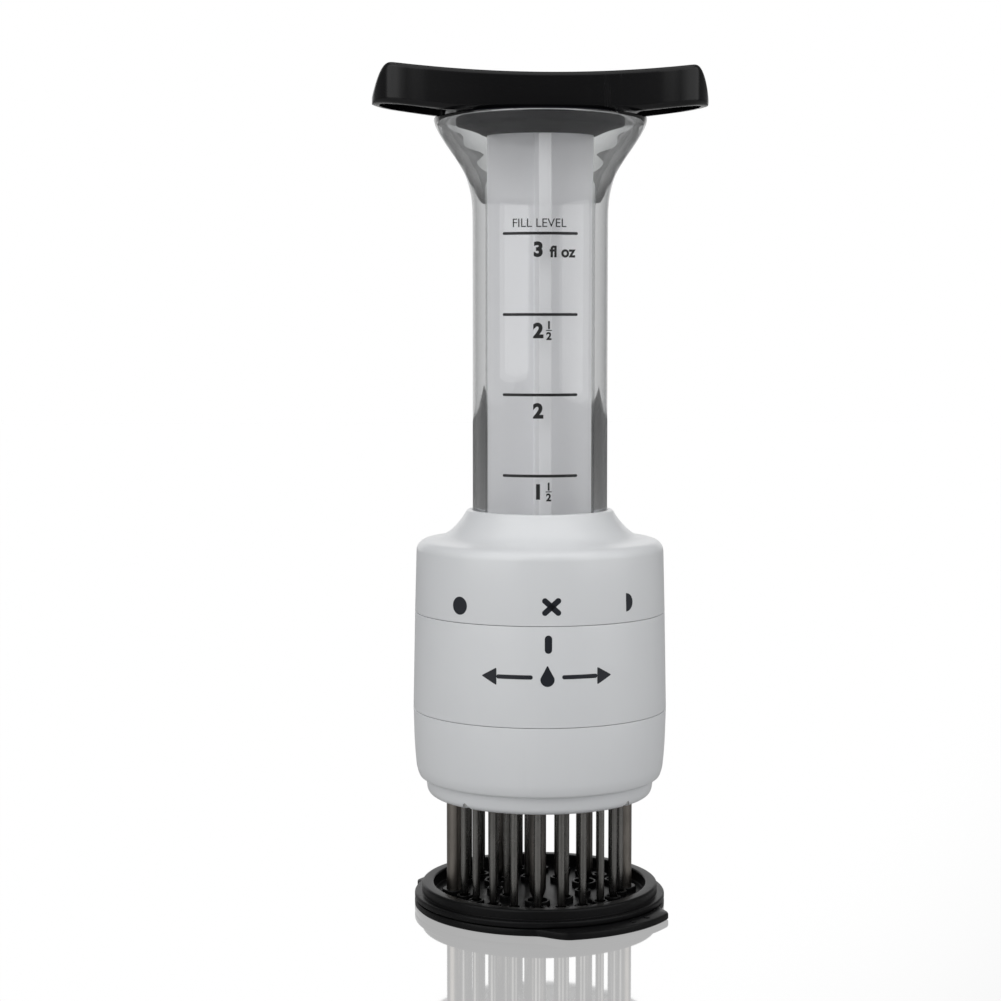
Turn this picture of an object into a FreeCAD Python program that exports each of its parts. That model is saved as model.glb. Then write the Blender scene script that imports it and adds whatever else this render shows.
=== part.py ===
# Meat injector: a clear dosing barrel on a white needle housing, with a plunger and its handle on
# top and a spring-loaded needle guard below.  Millimetres, +Z up, origin on the axis at the base,
# front towards -Y, handle along X.
import FreeCAD, Part
import Sketcher
import math
import os
import re

App = FreeCAD
doc = App.newDocument("meat_injector")

# ---------------------------------------------------------------- driving sizes
# Each size that can be set by itself is written once here.
SIZES = {
    # barrel
    "bore_radius": 14.75, "tube_wall": 3.45, "tube_length": 165.4, "flare_length": 23.4,
    "flare_reach": 10.3, "mouth_height": 2.4,
    # clearances
    "running_gap": 0.04, "part_gap": 0.1, "face_gap": 0.2, "moving_gap": 0.3, "needle_gap": 0.35,
    # guide posts and return springs
    "post_radius": 2.35, "spring_wire": 0.7, "spring_room": 31.0,
    "spring_coils": 8.0, "tube_to_spring": 1.7, "clip_height": 1.3, "clip_bite": 0.45,
    "bush_wall": 0.7, "bush_flange": 0.8,
    # housing
    "body_margin": 10.8, "shell_wall": 2.6, "body_bulge": 0.5, "cup_height": 19.3,
    "dial_height": 26.6, "housing_height": 20.8, "neck_height": 7.4, "neck_wall": 1.6,
    "ring_height": 3.5, "ring_inset": 3.1, "ring_floor": 1.0, "seam_gap": 0.2, "spigot_drop": 3.0,
    "skirt_wall": 2.0, "skirt_drop": 3.4, "bead_height": 1.1, "lip_height": 1.8,
    "nut_height": 5.4, "clip_ring_height": 1.7, "clip_ring_width": 4.0,
    "clip_ring_depth": 11.0, "bridge_thickness": 2.0,
    # plates and valve
    "clamp_thickness": 2.0, "plate_thickness": 3.0, "gasket_thickness": 1.0,
    "flange_thickness": 1.8, "rotor_height": 3.8, "seat_disc": 3.2, "seat_spigot": 4.5,
    "port_offset": 12.0, "port_radius": 1.2, "small_port_radius": 0.6, "selector_turn": 40.0,
    "plate_margin": 4.4, "ledge_height": 2.2,
    # screws
    "screw_radius": 0.9, "screw_head_radius": 1.4, "screw_head_height": 1.2, "handle_screw_bite": 5.0,
    "handle_screw_circle": 7.5, "handle_screw_head": 1.9, "handle_screw_sink": 1.3,
    # needles
    "pin_radius": 1.05, "pin_head_radius": 1.75, "pin_head_height": 0.8, "pin_point": 4.0,
    "tip_level": 1.4, "tube_needle_radius": 2.3, "tube_needle_bore": 1.1,
    "tube_needle_head": 2.9, "tube_needle_point": 6.0,
    "middle_circle": 12.25, "tube_circle": 14.1, "outer_circle": 22.0,
    # guard and lock ring
    "lock_thickness": 2.0, "lock_step": 1.1, "lock_reach": 4.3, "lock_turn": 15.0,
    "lobe_rise": 14.0, "lobe_span": 65.0, "lobe_end": 72.0, "lobe_round": 1.9, "mark_radius": 0.8,
    "rib_width": 1.1, "peg_reach": 4.0, "peg_play": 1.2, "peg_swing": 2.4, "guard_screw_head": 2.0,
    "guard_margin": 11.1, "guard_flange": 1.6, "guard_rim": 2.6, "rim_step": 2.0,
    "rim_wall": 3.2, "guard_floor": 3.2, "collar_height": 1.3, "collar_wall": 0.8,
    "guard_travel": 22.0, "guard_gap": 2.6, "base_level": 0.2, "base_thickness": 0.7,
    # plunger and handle
    "piston_gap": 0.5, "piston_height": 8.4, "piston_play": 0.45, "cap_height": 3.0,
    "ring_section": 0.75, "rod_web": 3.3, "rod_play": 0.55, "rod_foot": 1.5, "swivel_radius": 4.6,
    "swivel_neck": 3.2, "rod_top_radius": 12.0, "rod_top_height": 2.0, "plug_radius": 22.7,
    "plug_height": 3.4, "plug_foot": 15.0, "plug_rise": 1.0, "handle_length": 90.0,
    "handle_depth": 29.0, "handle_end_depth": 22.4, "handle_height": 9.8, "handle_dish": 2.8,
    "handle_lift": 2.4, "handle_wall": 2.0, "grip_flat": 24.0,
}

# ---------------------------------------------------------------- sizes worked out from them
WORKED = {
    # radii
    "tube_outer": "bore_radius + tube_wall",
    "coil_radius": "post_radius + spring_wire / 2 + 0.15",
    "spring_outer": "coil_radius + spring_wire / 2",
    "post_offset": "tube_outer + tube_to_spring + spring_outer",
    "body_radius": "post_offset + body_margin",
    "shell_inner": "body_radius - shell_wall",
    "bush_radius": "post_radius + running_gap + bush_wall",
    "plate_radius": "post_offset + plate_margin",
    "ring_outer": "body_radius - ring_inset",
    "ring_spigot": "ring_outer - moving_gap",
    "boss_offset": "(plate_radius + ring_outer) / 2",
    "boss_radius": "shell_inner - boss_offset - 0.05",
    "clip_radius": "bush_radius + bush_wall / 2",
    "valve_radius": "tube_outer - face_gap",
    "mouth_radius": "tube_outer + flare_reach",
    "boss_inner": "guard_boss + moving_gap",
    "guard_boss": "post_offset + post_radius + 1.25",
    "guard_radius": "post_offset + guard_margin",
    "rim_outer": "guard_radius - rim_step",
    "rim_inner": "rim_outer - rim_wall",
    "base_radius": "rim_inner - face_gap",
    "lock_radius": "guard_radius + lock_reach",
    "rod_radius": "bore_radius - rod_play",
    "piston_radius": "bore_radius - piston_play",
    # levels, from the bottom up
    "flange_level": "lock_thickness + face_gap",
    "rim_level": "flange_level + guard_flange",
    "guard_top": "rim_level + guard_rim",
    "ring_bottom": "guard_top + guard_travel + guard_gap",
    "groove_level": "ring_bottom + ring_height",
    "clamp_level": "ring_bottom + ring_floor",
    "plate_level": "clamp_level + clamp_thickness",
    "gasket_level": "plate_level + plate_thickness",
    "rotor_level": "gasket_level + gasket_thickness",
    "ledge_level": "rotor_level + flange_thickness",
    "ledge_top": "ledge_level + ledge_height",
    "rotor_top": "ledge_level + rotor_height",
    "seal_level": "rotor_top + face_gap",
    "seat_level": "seal_level + gasket_thickness",
    "tube_bottom": "seat_level + seat_disc",
    "bore_bottom": "tube_bottom + seat_spigot",
    "mouth_level": "tube_bottom + tube_length",
    "flare_level": "mouth_level - flare_length",
    "clip_level": "ledge_level + bush_flange + part_gap",
    "spring_level": "clip_level + clip_height",
    "bridge_level": "spring_level + spring_room",
    "bridge_top": "bridge_level + bridge_thickness",
    "post_foot": "guard_floor - 0.6",
    "post_top": "bridge_level - guard_travel - 1",
    "seam_low": "groove_level + cup_height",
    "seam_high": "seam_low + dial_height",
    "shoulder_level": "seam_high + housing_height",
    "neck_top": "shoulder_level + neck_height",
    "boss_joint": "seam_low - spigot_drop",
    "skirt_level": "seam_high - skirt_drop",
    "neck_clip_level": "shoulder_level - clip_ring_depth",
    "piston_level": "bore_bottom + piston_gap",
    "piston_top": "piston_level + piston_height",
    "cap_top": "piston_top + cap_height",
    "rod_level": "cap_top + 0.6",
    "plug_level": "mouth_level - 2.4",
    "handle_level": "plug_level + plug_height",
    "rod_top": "plug_level + rod_top_height",
}


def sheet_of(name, values):
    """A spreadsheet with a name and a value on each row, the value under an alias."""
    sheet = doc.addObject("Spreadsheet::Sheet", name)
    for row, (alias, value) in enumerate(values.items(), start=1):
        sheet.set(f"A{row}", alias)
        sheet.set(f"B{row}", value)
        sheet.setAlias(f"B{row}", alias)
    doc.recompute()
    return sheet


def formula(text):
    """The expression with each size's name led by the sheet that holds it."""
    def lead(match):
        word = match.group(0)
        if word in SIZES:
            return "Sizes." + word
        return "Levels." + word if word in WORKED else word
    return re.sub(r"[a-z][a-z_0-9]*", lead, str(text))


sizes = sheet_of("Sizes", {alias: str(value) for alias, value in SIZES.items()})
levels = sheet_of("Levels", {alias: "=" + formula(text).replace("Levels.", "")
                             for alias, text in WORKED.items()})


def value(text):
    """The number that an expression on the sheets comes to."""
    result = sizes.evalExpression(formula(text))
    return float(getattr(result, "Value", result))


# ---------------------------------------------------------------- sketches and features
NODES = []


def body_named(label):
    body = doc.addObject("PartDesign::Body", label)
    body.Label = label
    return body


def new_sketch(body, plane, height="0"):
    """A sketch on one of the body's origin planes, lifted along that plane's normal."""
    sketch = body.newObject("Sketcher::SketchObject", body.Name + "_sketch")
    role = [item for item in body.Origin.OriginFeatures if item.Role == plane][0]
    sketch.AttachmentSupport = [(role, "")]
    sketch.MapMode = "FlatFace"
    if height != "0":
        sketch.setExpression("AttachmentOffset.Base.z", formula(height))
        sketch.AttachmentOffset = App.Placement(App.Vector(0, 0, value(height)), App.Rotation())
    return sketch


def pin_point(sketch, geometry, corner, x_text, y_text):
    """Dimension one point of the sketch from the origin, along x and along y."""
    for kind, axis, text in (("DistanceX", -2, x_text), ("DistanceY", -1, y_text)):
        if str(text) == "0":
            sketch.addConstraint(Sketcher.Constraint("PointOnObject", geometry, corner, axis))
            continue
        index = sketch.addConstraint(
            Sketcher.Constraint(kind, -1, 1, geometry, corner, value(text)))
        sketch.setExpression(f"Constraints[{index}]", formula(text))


def draw_outline(sketch, steps):
    """A closed outline.  A step is a corner (x, y), or (x, y, radius, turn) for an arc of that
    radius that ends at the corner, turning left (+1) or right (-1)."""
    corners = [(value(step[0]), value(step[1])) for step in steps]
    first = sketch.GeometryCount
    for index, step in enumerate(steps):
        start, end = corners[index - 1], corners[index]
        if len(step) == 2:
            edge = Part.LineSegment(App.Vector(*start, 0), App.Vector(*end, 0))
        else:
            edge = arc_between(start, end, value(step[2]), step[3])
        sketch.addGeometry(edge, False)
    count = len(steps)
    for index, step in enumerate(steps):
        here, after = first + index, first + (index + 1) % count
        left_turn_here = len(step) == 2 or step[3] > 0
        following = steps[(index + 1) % count]
        left_turn_after = len(following) == 2 or following[3] > 0
        end_point = 2 if left_turn_here else 1
        start_point = 1 if left_turn_after else 2
        sketch.addConstraint(Sketcher.Constraint("Coincident", here, end_point, after, start_point))
        pin_point(sketch, here, end_point, step[0], step[1])
        if len(step) == 4:
            radius = sketch.addConstraint(Sketcher.Constraint("Radius", here, value(step[2])))
            sketch.setExpression(f"Constraints[{radius}]", formula(step[2]))


def arc_between(start, end, radius, turn):
    """The short arc from start to end that turns left (+1) or right (-1)."""
    begin, finish = App.Vector(*start, 0), App.Vector(*end, 0)
    chord = finish - begin
    rise = math.sqrt(radius ** 2 - (chord.Length / 2) ** 2)
    side = App.Vector(-chord.y, chord.x, 0).normalize() * (rise * turn)
    centre = (begin + finish) * 0.5 + side
    bulge = centre - side.normalize() * (radius * (1 if rise else 0))
    if turn > 0:
        return Part.Arc(begin, bulge, finish)
    return Part.Arc(finish, bulge, begin)


def draw_circles(sketch, centres, radius):
    for x_text, y_text in centres:
        centre = App.Vector(value(x_text), value(y_text), 0)
        index = sketch.addGeometry(
            Part.Circle(centre, App.Vector(0, 0, 1), value(radius)), False)
        pin_point(sketch, index, 3, x_text, y_text)
        fixed = sketch.addConstraint(Sketcher.Constraint("Radius", index, value(radius)))
        sketch.setExpression(f"Constraints[{fixed}]", formula(radius))


def spin_feature(body, steps, kind="PartDesign::Revolution"):
    """The outline in the XZ plane, turned once round the Z axis."""
    sketch = new_sketch(body, "XZ_Plane")
    draw_outline(sketch, steps)
    feature = body.newObject(kind, body.Name + "_turned")
    feature.Profile = sketch
    feature.ReferenceAxis = (sketch, ["V_Axis"])
    feature.Angle = 360
    return feature


def pad_feature(body, level, height, circles=(), outline=(), radius="1"):
    """Material from a level up, on circles or an outline in plan."""
    sketch = new_sketch(body, "XY_Plane", level)
    draw_circles(sketch, circles, radius)
    if outline:
        draw_outline(sketch, outline)
    feature = body.newObject("PartDesign::Pad", body.Name + "_pad")
    feature.Profile = sketch
    feature.setExpression("Length", formula(height))
    feature.Length = value(height)
    return feature


def pocket_feature(body, level, height, circles=(), outline=(), radius="1"):
    """Material taken away from a level up, on circles or an outline in plan."""
    sketch = new_sketch(body, "XY_Plane", level)
    draw_circles(sketch, circles, radius)
    if outline:
        draw_outline(sketch, outline)
    before = body.Tip.Shape.Volume
    feature = body.newObject("PartDesign::Pocket", body.Name + "_pocket")
    feature.Profile = sketch
    feature.Reversed = True
    feature.setExpression("Length", formula(height))
    feature.Length = value(height)
    doc.recompute()
    if not feature.Shape.Volume < before:
        raise RuntimeError(f"{feature.Name} cuts nothing")
    return feature


def edges_where(shape, test):
    """The names of the shape's edges that pass the test."""
    return [f"Edge{number}" for number, edge in enumerate(shape.Edges, start=1) if test(edge)]


def fillet_feature(body, radius, test):
    doc.recompute()
    base = body.Tip
    feature = body.newObject("PartDesign::Fillet", body.Name + "_fillet")
    feature.Base = (base, edges_where(base.Shape, test))
    feature.setExpression("Radius", formula(radius))
    feature.Radius = value(radius)
    return feature


def node(part):
    """Count the object among the pieces that are written out."""
    NODES.append(part)
    return part


def turned(label, steps, x_text="0", y_text="0"):
    """A turned piece, its axis moved to (x, y)."""
    body = body_named(label)
    spin_feature(body, steps)
    place(body, x_text, y_text)
    return body


def place(part, x_text, y_text):
    if x_text != "0":
        part.setExpression("Placement.Base.x", formula(x_text))
    if y_text != "0":
        part.setExpression("Placement.Base.y", formula(y_text))


def group(label, pieces):
    """Like pieces that share a node."""
    bundle = doc.addObject("Part::Compound", label)
    bundle.Label = label
    bundle.Links = pieces
    return bundle


def polar(radius, angle):
    """Where a point at a radius and an angle in degrees lies, as two expressions."""
    return (f"({radius}) * cos(({angle}) * 1 deg)", f"({radius}) * sin(({angle}) * 1 deg)")


POSTS = [("post_offset", "0"), ("-post_offset", "0")]
BOSSES = [polar("boss_offset", 45 + 90 * quarter) for quarter in range(4)]
TUBE_NEEDLES = [23 + 120 * third for third in range(3)]
OUTER_PINS = [2 + 360 * place / 22 for place in range(22) if place not in (0, 11)]
MIDDLE_PINS = [20 + 40 * place for place in range(9) if place % 3]
PIN_PLACES = ([polar("outer_circle", angle) for angle in OUTER_PINS]
              + [polar("middle_circle", angle) for angle in MIDDLE_PINS])
TUBE_PLACES = [polar("tube_circle", angle) for angle in TUBE_NEEDLES]
GROOVES = ("piston_level + 1.6", "piston_level + 5")
HANDLE_SCREWS = [polar("handle_screw_circle", 45), polar("handle_screw_circle", 225)]
LOCK_PEGS = (60, 240)
LOCK_LOBES = (-97, 83)
LOCK_MARKS = (-52, -43)


# ---------------------------------------------------------------- needle housing, fixed
def make_bottom_ring():
    """Stepped ring that closes the housing from below and carries the needle plates."""
    ring = body_named("bottom_ring")
    spin_feature(ring, [
        ("post_offset + post_radius + 0.6", "ring_bottom"),
        ("ring_outer - 3", "ring_bottom"),
        ("ring_outer", "ring_bottom + 3", "3", 1),
        ("ring_outer", "groove_level"),
        ("ring_spigot", "groove_level"),
        ("ring_spigot", "ledge_level"),
        ("plate_radius + part_gap", "ledge_level"),
        ("plate_radius + part_gap", "clamp_level"),
        ("post_offset + post_radius + 0.6", "clamp_level"),
    ])
    doc.recompute()
    pocket_feature(ring, "ring_bottom - 1", "ring_height + plate_thickness + 8", BOSSES,
                   radius="screw_radius + part_gap / 2")
    pocket_feature(ring, "ring_bottom - 1", "ring_floor + 1 + screw_head_height", BOSSES,
                   radius="screw_head_radius + part_gap")
    return node(ring)


def make_lower_cup():
    """White cup above the stepped ring, with an inner ledge that clamps the plates."""
    cup = body_named("lower_cup")
    spin_feature(cup, [
        ("ring_spigot + part_gap", "groove_level + seam_gap"),
        ("body_radius - 2.5", "groove_level + seam_gap"),
        ("body_radius - 0.9", "groove_level + seam_gap + 1.6", "1.6", 1),
        ("body_radius + body_bulge", "seam_low", "140", 1),
        ("shell_inner", "seam_low"),
        ("shell_inner", "ledge_top"),
        ("plate_radius - 0.7", "ledge_top"),
        ("plate_radius - 0.7", "ledge_level"),
        ("ring_spigot + part_gap", "ledge_level"),
    ])
    pad_feature(cup, "ledge_top - 0.5", "boss_joint - ledge_top + 0.5", BOSSES,
                radius="boss_radius")
    doc.recompute()
    pocket_feature(cup, "ledge_level - 1", "boss_joint - ledge_level + 2", BOSSES,
                   radius="screw_radius + part_gap / 2")
    return node(cup)


def make_dial_ring():
    """White middle ring that carries the pointer and holds the barrel housing's bead."""
    ring = body_named("dial_ring")
    spin_feature(ring, [
        ("shell_inner - 1.5", "boss_joint"),
        ("shell_inner - part_gap", "boss_joint"),
        ("shell_inner - part_gap", "seam_low + seam_gap"),
        ("body_radius + body_bulge", "seam_low + seam_gap"),
        ("body_radius", "seam_high - seam_gap"),
        ("shell_inner - 0.6", "seam_high - seam_gap"),
        ("shell_inner - 0.6", "seam_high - seam_gap - lip_height"),
        ("shell_inner", "seam_high - seam_gap - lip_height"),
        ("shell_inner", "seam_low + 3.2"),
        ("shell_inner - 1.5", "seam_low + 1.7"),
    ])
    pad_feature(ring, "boss_joint", "bridge_level - boss_joint", BOSSES, radius="boss_radius")
    doc.recompute()
    pocket_feature(ring, "boss_joint - 1", "bridge_level - boss_joint + 2", BOSSES,
                   radius="screw_radius + part_gap / 2")
    return node(ring)


def make_spring_bridge():
    """Flat ring across the dial ring that the return springs push against."""
    bridge = body_named("spring_bridge")
    spin_feature(bridge, [
        ("tube_outer + 1", "bridge_level"),
        ("shell_inner - face_gap", "bridge_level"),
        ("shell_inner - face_gap", "bridge_top"),
        ("tube_outer + 1", "bridge_top"),
    ])
    pad_feature(bridge, "bridge_level - 3", "3.5", POSTS, radius="spring_outer + moving_gap + 0.8")
    doc.recompute()
    pocket_feature(bridge, "bridge_level - 4", "4", POSTS, radius="spring_outer + moving_gap")
    pocket_feature(bridge, "bridge_level - 1", "4", BOSSES, radius="screw_radius + part_gap / 2")
    return node(bridge)


def make_plates():
    """The clamp, the needle plate and its gasket: three discs with the same needle pattern."""
    discs = (("needle_clamp", "clamp_level", "clamp_thickness"),
             ("needle_plate", "plate_level", "plate_thickness"),
             ("needle_gasket", "gasket_level", "gasket_thickness"))
    for label, level, thickness in discs:
        disc = body_named(label)
        pad_feature(disc, level, thickness, [("0", "0")], radius="plate_radius")
        doc.recompute()
        pocket_feature(disc, f"{level} - 1", f"{thickness} + 2", POSTS,
                       radius="bush_radius + part_gap / 2")
        if label != "needle_gasket":
            pocket_feature(disc, f"{level} - 1", f"{thickness} + 2", PIN_PLACES,
                           radius="pin_radius + part_gap / 2")
        pocket_feature(disc, f"{level} - 1", f"{thickness} + 2", TUBE_PLACES,
                       radius="tube_needle_radius + part_gap / 2")
        if label == "needle_plate":
            pocket_feature(disc, "gasket_level - pin_head_height", "pin_head_height + 1",
                           PIN_PLACES, radius="pin_head_radius + part_gap / 2")
            pocket_feature(disc, "gasket_level - pin_head_height", "pin_head_height + 1",
                           TUBE_PLACES, radius="tube_needle_head + part_gap / 2")
        node(disc)


def make_valve_rotor():
    """Manifold over the hollow needles.  Three ports in its top face meet the barrel's seat."""
    rotor = body_named("valve_rotor")
    spin_feature(rotor, [
        ("0", "rotor_level"), ("plate_radius", "rotor_level"), ("plate_radius", "ledge_level"),
        ("valve_radius", "ledge_level"), ("valve_radius", "rotor_top"), ("0", "rotor_top"),
    ])
    doc.recompute()
    pocket_feature(rotor, "rotor_level - 1", "flange_thickness + 2", POSTS,
                   radius="bush_radius + part_gap / 2")
    ports = [polar("port_offset", angle) for angle in TUBE_NEEDLES]
    pocket_feature(rotor, "rotor_level - 1", "rotor_height + flange_thickness + 2", ports,
                   radius="port_radius")
    pocket_feature(rotor, "rotor_level - 1", "2.2", TUBE_PLACES, radius="tube_needle_radius")
    return node(rotor)


def make_bushes():
    """Guide bushes for the two posts, pushed through the plates, with a flange on top."""
    steps = [
        ("post_radius + running_gap", "clamp_level"), ("bush_radius", "clamp_level"),
        ("bush_radius", "ledge_level"), ("bush_radius + 0.4", "ledge_level"),
        ("bush_radius + 0.4", "ledge_level + bush_flange"),
        ("post_radius + running_gap", "ledge_level + bush_flange"),
    ]
    return node(group("guide_bushes", [turned(f"bush_{side}", steps, *post)
                                       for side, post in enumerate(POSTS)]))


def make_housing_screws():
    """Four long screws from below, through ring, cup and dial ring into the spring bridge."""
    steps = [
        ("0", "clamp_level"), ("screw_head_radius", "clamp_level"),
        ("screw_head_radius", "clamp_level + screw_head_height"),
        ("screw_radius", "clamp_level + screw_head_height"),
        ("screw_radius", "bridge_top - 0.2"), ("0", "bridge_top - 0.2"),
    ]
    return node(group("housing_screws", [turned(f"long_screw_{index}", steps, *boss)
                                         for index, boss in enumerate(BOSSES)]))


def make_needles():
    """Solid tenderizing needles, each with a head in the needle plate, in two circles."""
    steps = [
        ("0", "tip_level"), ("pin_radius", "tip_level + pin_point"),
        ("pin_radius", "gasket_level - pin_head_height"),
        ("pin_head_radius", "gasket_level - pin_head_height"),
        ("pin_head_radius", "gasket_level"), ("0", "gasket_level"),
    ]
    circles = (("outer", OUTER_PINS), ("middle", MIDDLE_PINS))
    for name, angles in circles:
        for number, angle in enumerate(angles, start=1):
            node(turned(f"needle_{name}_{number:02d}", steps, *polar(f"{name}_circle", angle)))


def make_tube_needles():
    """Hollow injector needles with a closed point and four side holes each."""
    steps = [
        ("0", "tip_level"), ("tube_needle_radius", "tip_level + tube_needle_point"),
        ("tube_needle_radius", "gasket_level - pin_head_height"),
        ("tube_needle_head", "gasket_level - pin_head_height"),
        ("tube_needle_head", "gasket_level"), ("tube_needle_radius", "gasket_level"),
        ("tube_needle_radius", "rotor_level"), ("tube_needle_bore", "rotor_level"),
        ("tube_needle_bore", "tip_level + tube_needle_point + 1"),
        ("0", "tip_level + tube_needle_point"),
    ]
    for number, centre in enumerate(TUBE_PLACES, start=1):
        needle = body_named(f"injector_needle_{number}")
        spin_feature(needle, steps)
        doc.recompute()
        before = needle.Tip.Shape.Volume
        sketch = new_sketch(needle, "XZ_Plane")
        draw_circles(sketch, [("0", "tip_level + tube_needle_point + 3"),
                              ("0", "tip_level + tube_needle_point + 8")], "0.6")
        holes = needle.newObject("PartDesign::Pocket", needle.Name + "_side_holes")
        holes.Profile = sketch
        holes.Type = "ThroughAll"
        holes.Midplane = True
        doc.recompute()
        if not holes.Shape.Volume < before:
            raise RuntimeError("the side holes cut nothing")
        place(needle, *centre)
        node(needle)


# ---------------------------------------------------------------- barrel, turns on the housing
def make_tube():
    """Clear thick-walled barrel with a flared mouth and a groove for the neck clip."""
    flare = "flare_level"
    node(turned("barrel_tube", [
        ("bore_radius", "tube_bottom"),
        ("tube_outer", "tube_bottom"),
        ("tube_outer", "neck_clip_level"),
        ("tube_outer - 0.7", "neck_clip_level"),
        ("tube_outer - 0.7", "neck_clip_level + clip_ring_height"),
        ("tube_outer", "neck_clip_level + clip_ring_height"),
        ("tube_outer", flare),
        ("tube_outer + flare_reach * 0.58", "mouth_level - flare_length * 0.36",
         "flare_length * 0.94", -1),
        ("mouth_radius - 0.9", "mouth_level - mouth_height * 1.6"),
        ("mouth_radius", "mouth_level - mouth_height * 0.6", "3.4", 1),
        ("mouth_radius", "mouth_level - 0.8"),
        ("mouth_radius - 0.8", "mouth_level", "0.8", 1),
        ("mouth_radius - 2.4", "mouth_level"),
        ("bore_radius + flare_reach * 0.58 + 0.1", "mouth_level - flare_length * 0.33"),
        ("bore_radius", f"{flare} + 0.8", "flare_length * 0.94", 1),
    ]))


def make_top_housing():
    """White upper housing with the shoulder and neck; its skirt snaps into the dial ring."""
    inner = "body_radius - shell_wall - 0.3"
    skirt = "shell_inner - 0.6 - 0.4"
    socket = "tube_outer + clip_ring_width + 0.7"
    node(turned("top_housing", [
        (f"{skirt} - skirt_wall", "skirt_level"),
        ("shell_inner - moving_gap", "skirt_level"),
        ("shell_inner - moving_gap", "skirt_level + bead_height"),
        (skirt, "skirt_level + bead_height"),
        (skirt, "seam_high + 0.1"),
        ("body_radius", "seam_high + 0.1"),
        ("body_radius - body_bulge", "shoulder_level - 2.8"),
        ("body_radius - body_bulge - 2.6", "shoulder_level - 0.2", "2.6", 1),
        ("tube_outer + 9.8", "shoulder_level", "60", 1),
        ("tube_outer + neck_wall + 0.6", "neck_top - 0.8", "neck_height + 0.4", -1),
        ("tube_outer + neck_wall - 0.2", "neck_top", "0.85", 1),
        ("tube_outer + face_gap", "neck_top"),
        ("tube_outer + face_gap", "neck_clip_level + clip_ring_height"),
        (socket, "neck_clip_level + clip_ring_height"),
        (socket, "neck_clip_level - nut_height - 0.6"),
        (f"{socket} + 2", "neck_clip_level - nut_height - 0.6"),
        (f"{socket} + 2", "shoulder_level - 2.6"),
        (inner, "shoulder_level - 3.2"),
        (inner, "seam_high + 2.2"),
        (f"{skirt} - skirt_wall", "seam_high + 2.2"),
    ]))


def make_neck_clip_and_nut():
    """Ring in the tube's groove, and the threaded nut that holds it up under the neck."""
    socket = "tube_outer + clip_ring_width + 0.7"
    node(turned("neck_clip", [
        ("tube_outer - 0.7", "neck_clip_level"),
        (f"{socket} - 0.1", "neck_clip_level"),
        (f"{socket} - 0.1", "neck_clip_level + clip_ring_height"),
        ("tube_outer - 0.7", "neck_clip_level + clip_ring_height"),
    ]))
    node(turned("barrel_nut", [
        ("tube_outer + face_gap", "neck_clip_level - nut_height"),
        (f"{socket} - 0.1", "neck_clip_level - nut_height"),
        (f"{socket} - 0.1", "neck_clip_level"),
        ("tube_outer + face_gap", "neck_clip_level"),
    ]))


def ports_of_seat(body, level, height):
    """Full ports that meet the manifold one way, small ones that meet it the other way."""
    full = [polar("port_offset", f"{angle} - selector_turn") for angle in TUBE_NEEDLES]
    small = [polar("port_offset", f"{angle} + selector_turn") for angle in TUBE_NEEDLES]
    pocket_feature(body, level, height, full, radius="port_radius")
    pocket_feature(body, level, height, small, radius="small_port_radius")


def make_valve_seat():
    """Floor of the barrel, with a spigot into the bore, and the rubber face seal under it."""
    spigot = "bore_radius - part_gap"
    seat = body_named("valve_seat")
    spin_feature(seat, [
        ("0", "seat_level"), ("valve_radius", "seat_level"), ("valve_radius", "tube_bottom"),
        (spigot, "tube_bottom"), (spigot, "tube_bottom + 1.4"),
        (f"{spigot} - 1.25", "tube_bottom + 1.4"), (f"{spigot} - 1.25", "tube_bottom + 3"),
        (spigot, "tube_bottom + 3"), (spigot, "bore_bottom"), ("0", "bore_bottom"),
    ])
    doc.recompute()
    ports_of_seat(seat, "seat_level - 1", "seat_disc + seat_spigot + 2")
    node(seat)
    seal = body_named("valve_seal")
    pad_feature(seal, "seal_level", "gasket_thickness", [("0", "0")], radius="valve_radius - 0.2")
    doc.recompute()
    ports_of_seat(seal, "seal_level - 1", "gasket_thickness + 2")
    node(seal)
    ring = make_torus("seat_ring", "bore_radius - part_gap - 0.575", "0.65", "tube_bottom + 2.2")
    node(ring)


def make_torus(label, major, minor, level):
    ring = doc.addObject("Part::Torus", label)
    ring.Label = label
    ring.setExpression("Radius1", formula(major))
    ring.setExpression("Radius2", formula(minor))
    ring.setExpression("Placement.Base.z", formula(level))
    return ring


# ---------------------------------------------------------------- piston and plunger
def make_piston():
    """Piston with two ring grooves and a swivel socket, closed by a cap."""
    groove = "bore_radius - 2 * ring_section - running_gap - 0.02"
    steps = [("0", "piston_level"), ("piston_radius", "piston_level")]
    for low in GROOVES:
        steps += [("piston_radius", low), (groove, low), (groove, f"{low} + 1.8"),
                  ("piston_radius", f"{low} + 1.8")]
    steps += [
        ("piston_radius", "piston_top"), ("swivel_radius + 0.4", "piston_top"),
        ("swivel_radius + 0.4", "piston_top - 4"), ("0", "piston_top - 4"),
    ]
    node(turned("piston_head", steps))
    node(turned("piston_cap", [
        ("swivel_neck + moving_gap", "piston_top - 0.8"),
        ("swivel_radius + 0.35", "piston_top - 0.8"),
        ("swivel_radius + 0.35", "piston_top"),
        ("piston_radius - 1.8", "piston_top"),
        ("piston_radius - 1.8", "cap_top"),
        ("swivel_neck + moving_gap", "cap_top"),
    ]))
    rings = [make_torus(f"piston_ring_{index}", "bore_radius - running_gap - ring_section",
                        "ring_section", f"{low} + 0.9") for index, low in enumerate(GROOVES)]
    node(group("piston_rings", rings))


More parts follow.
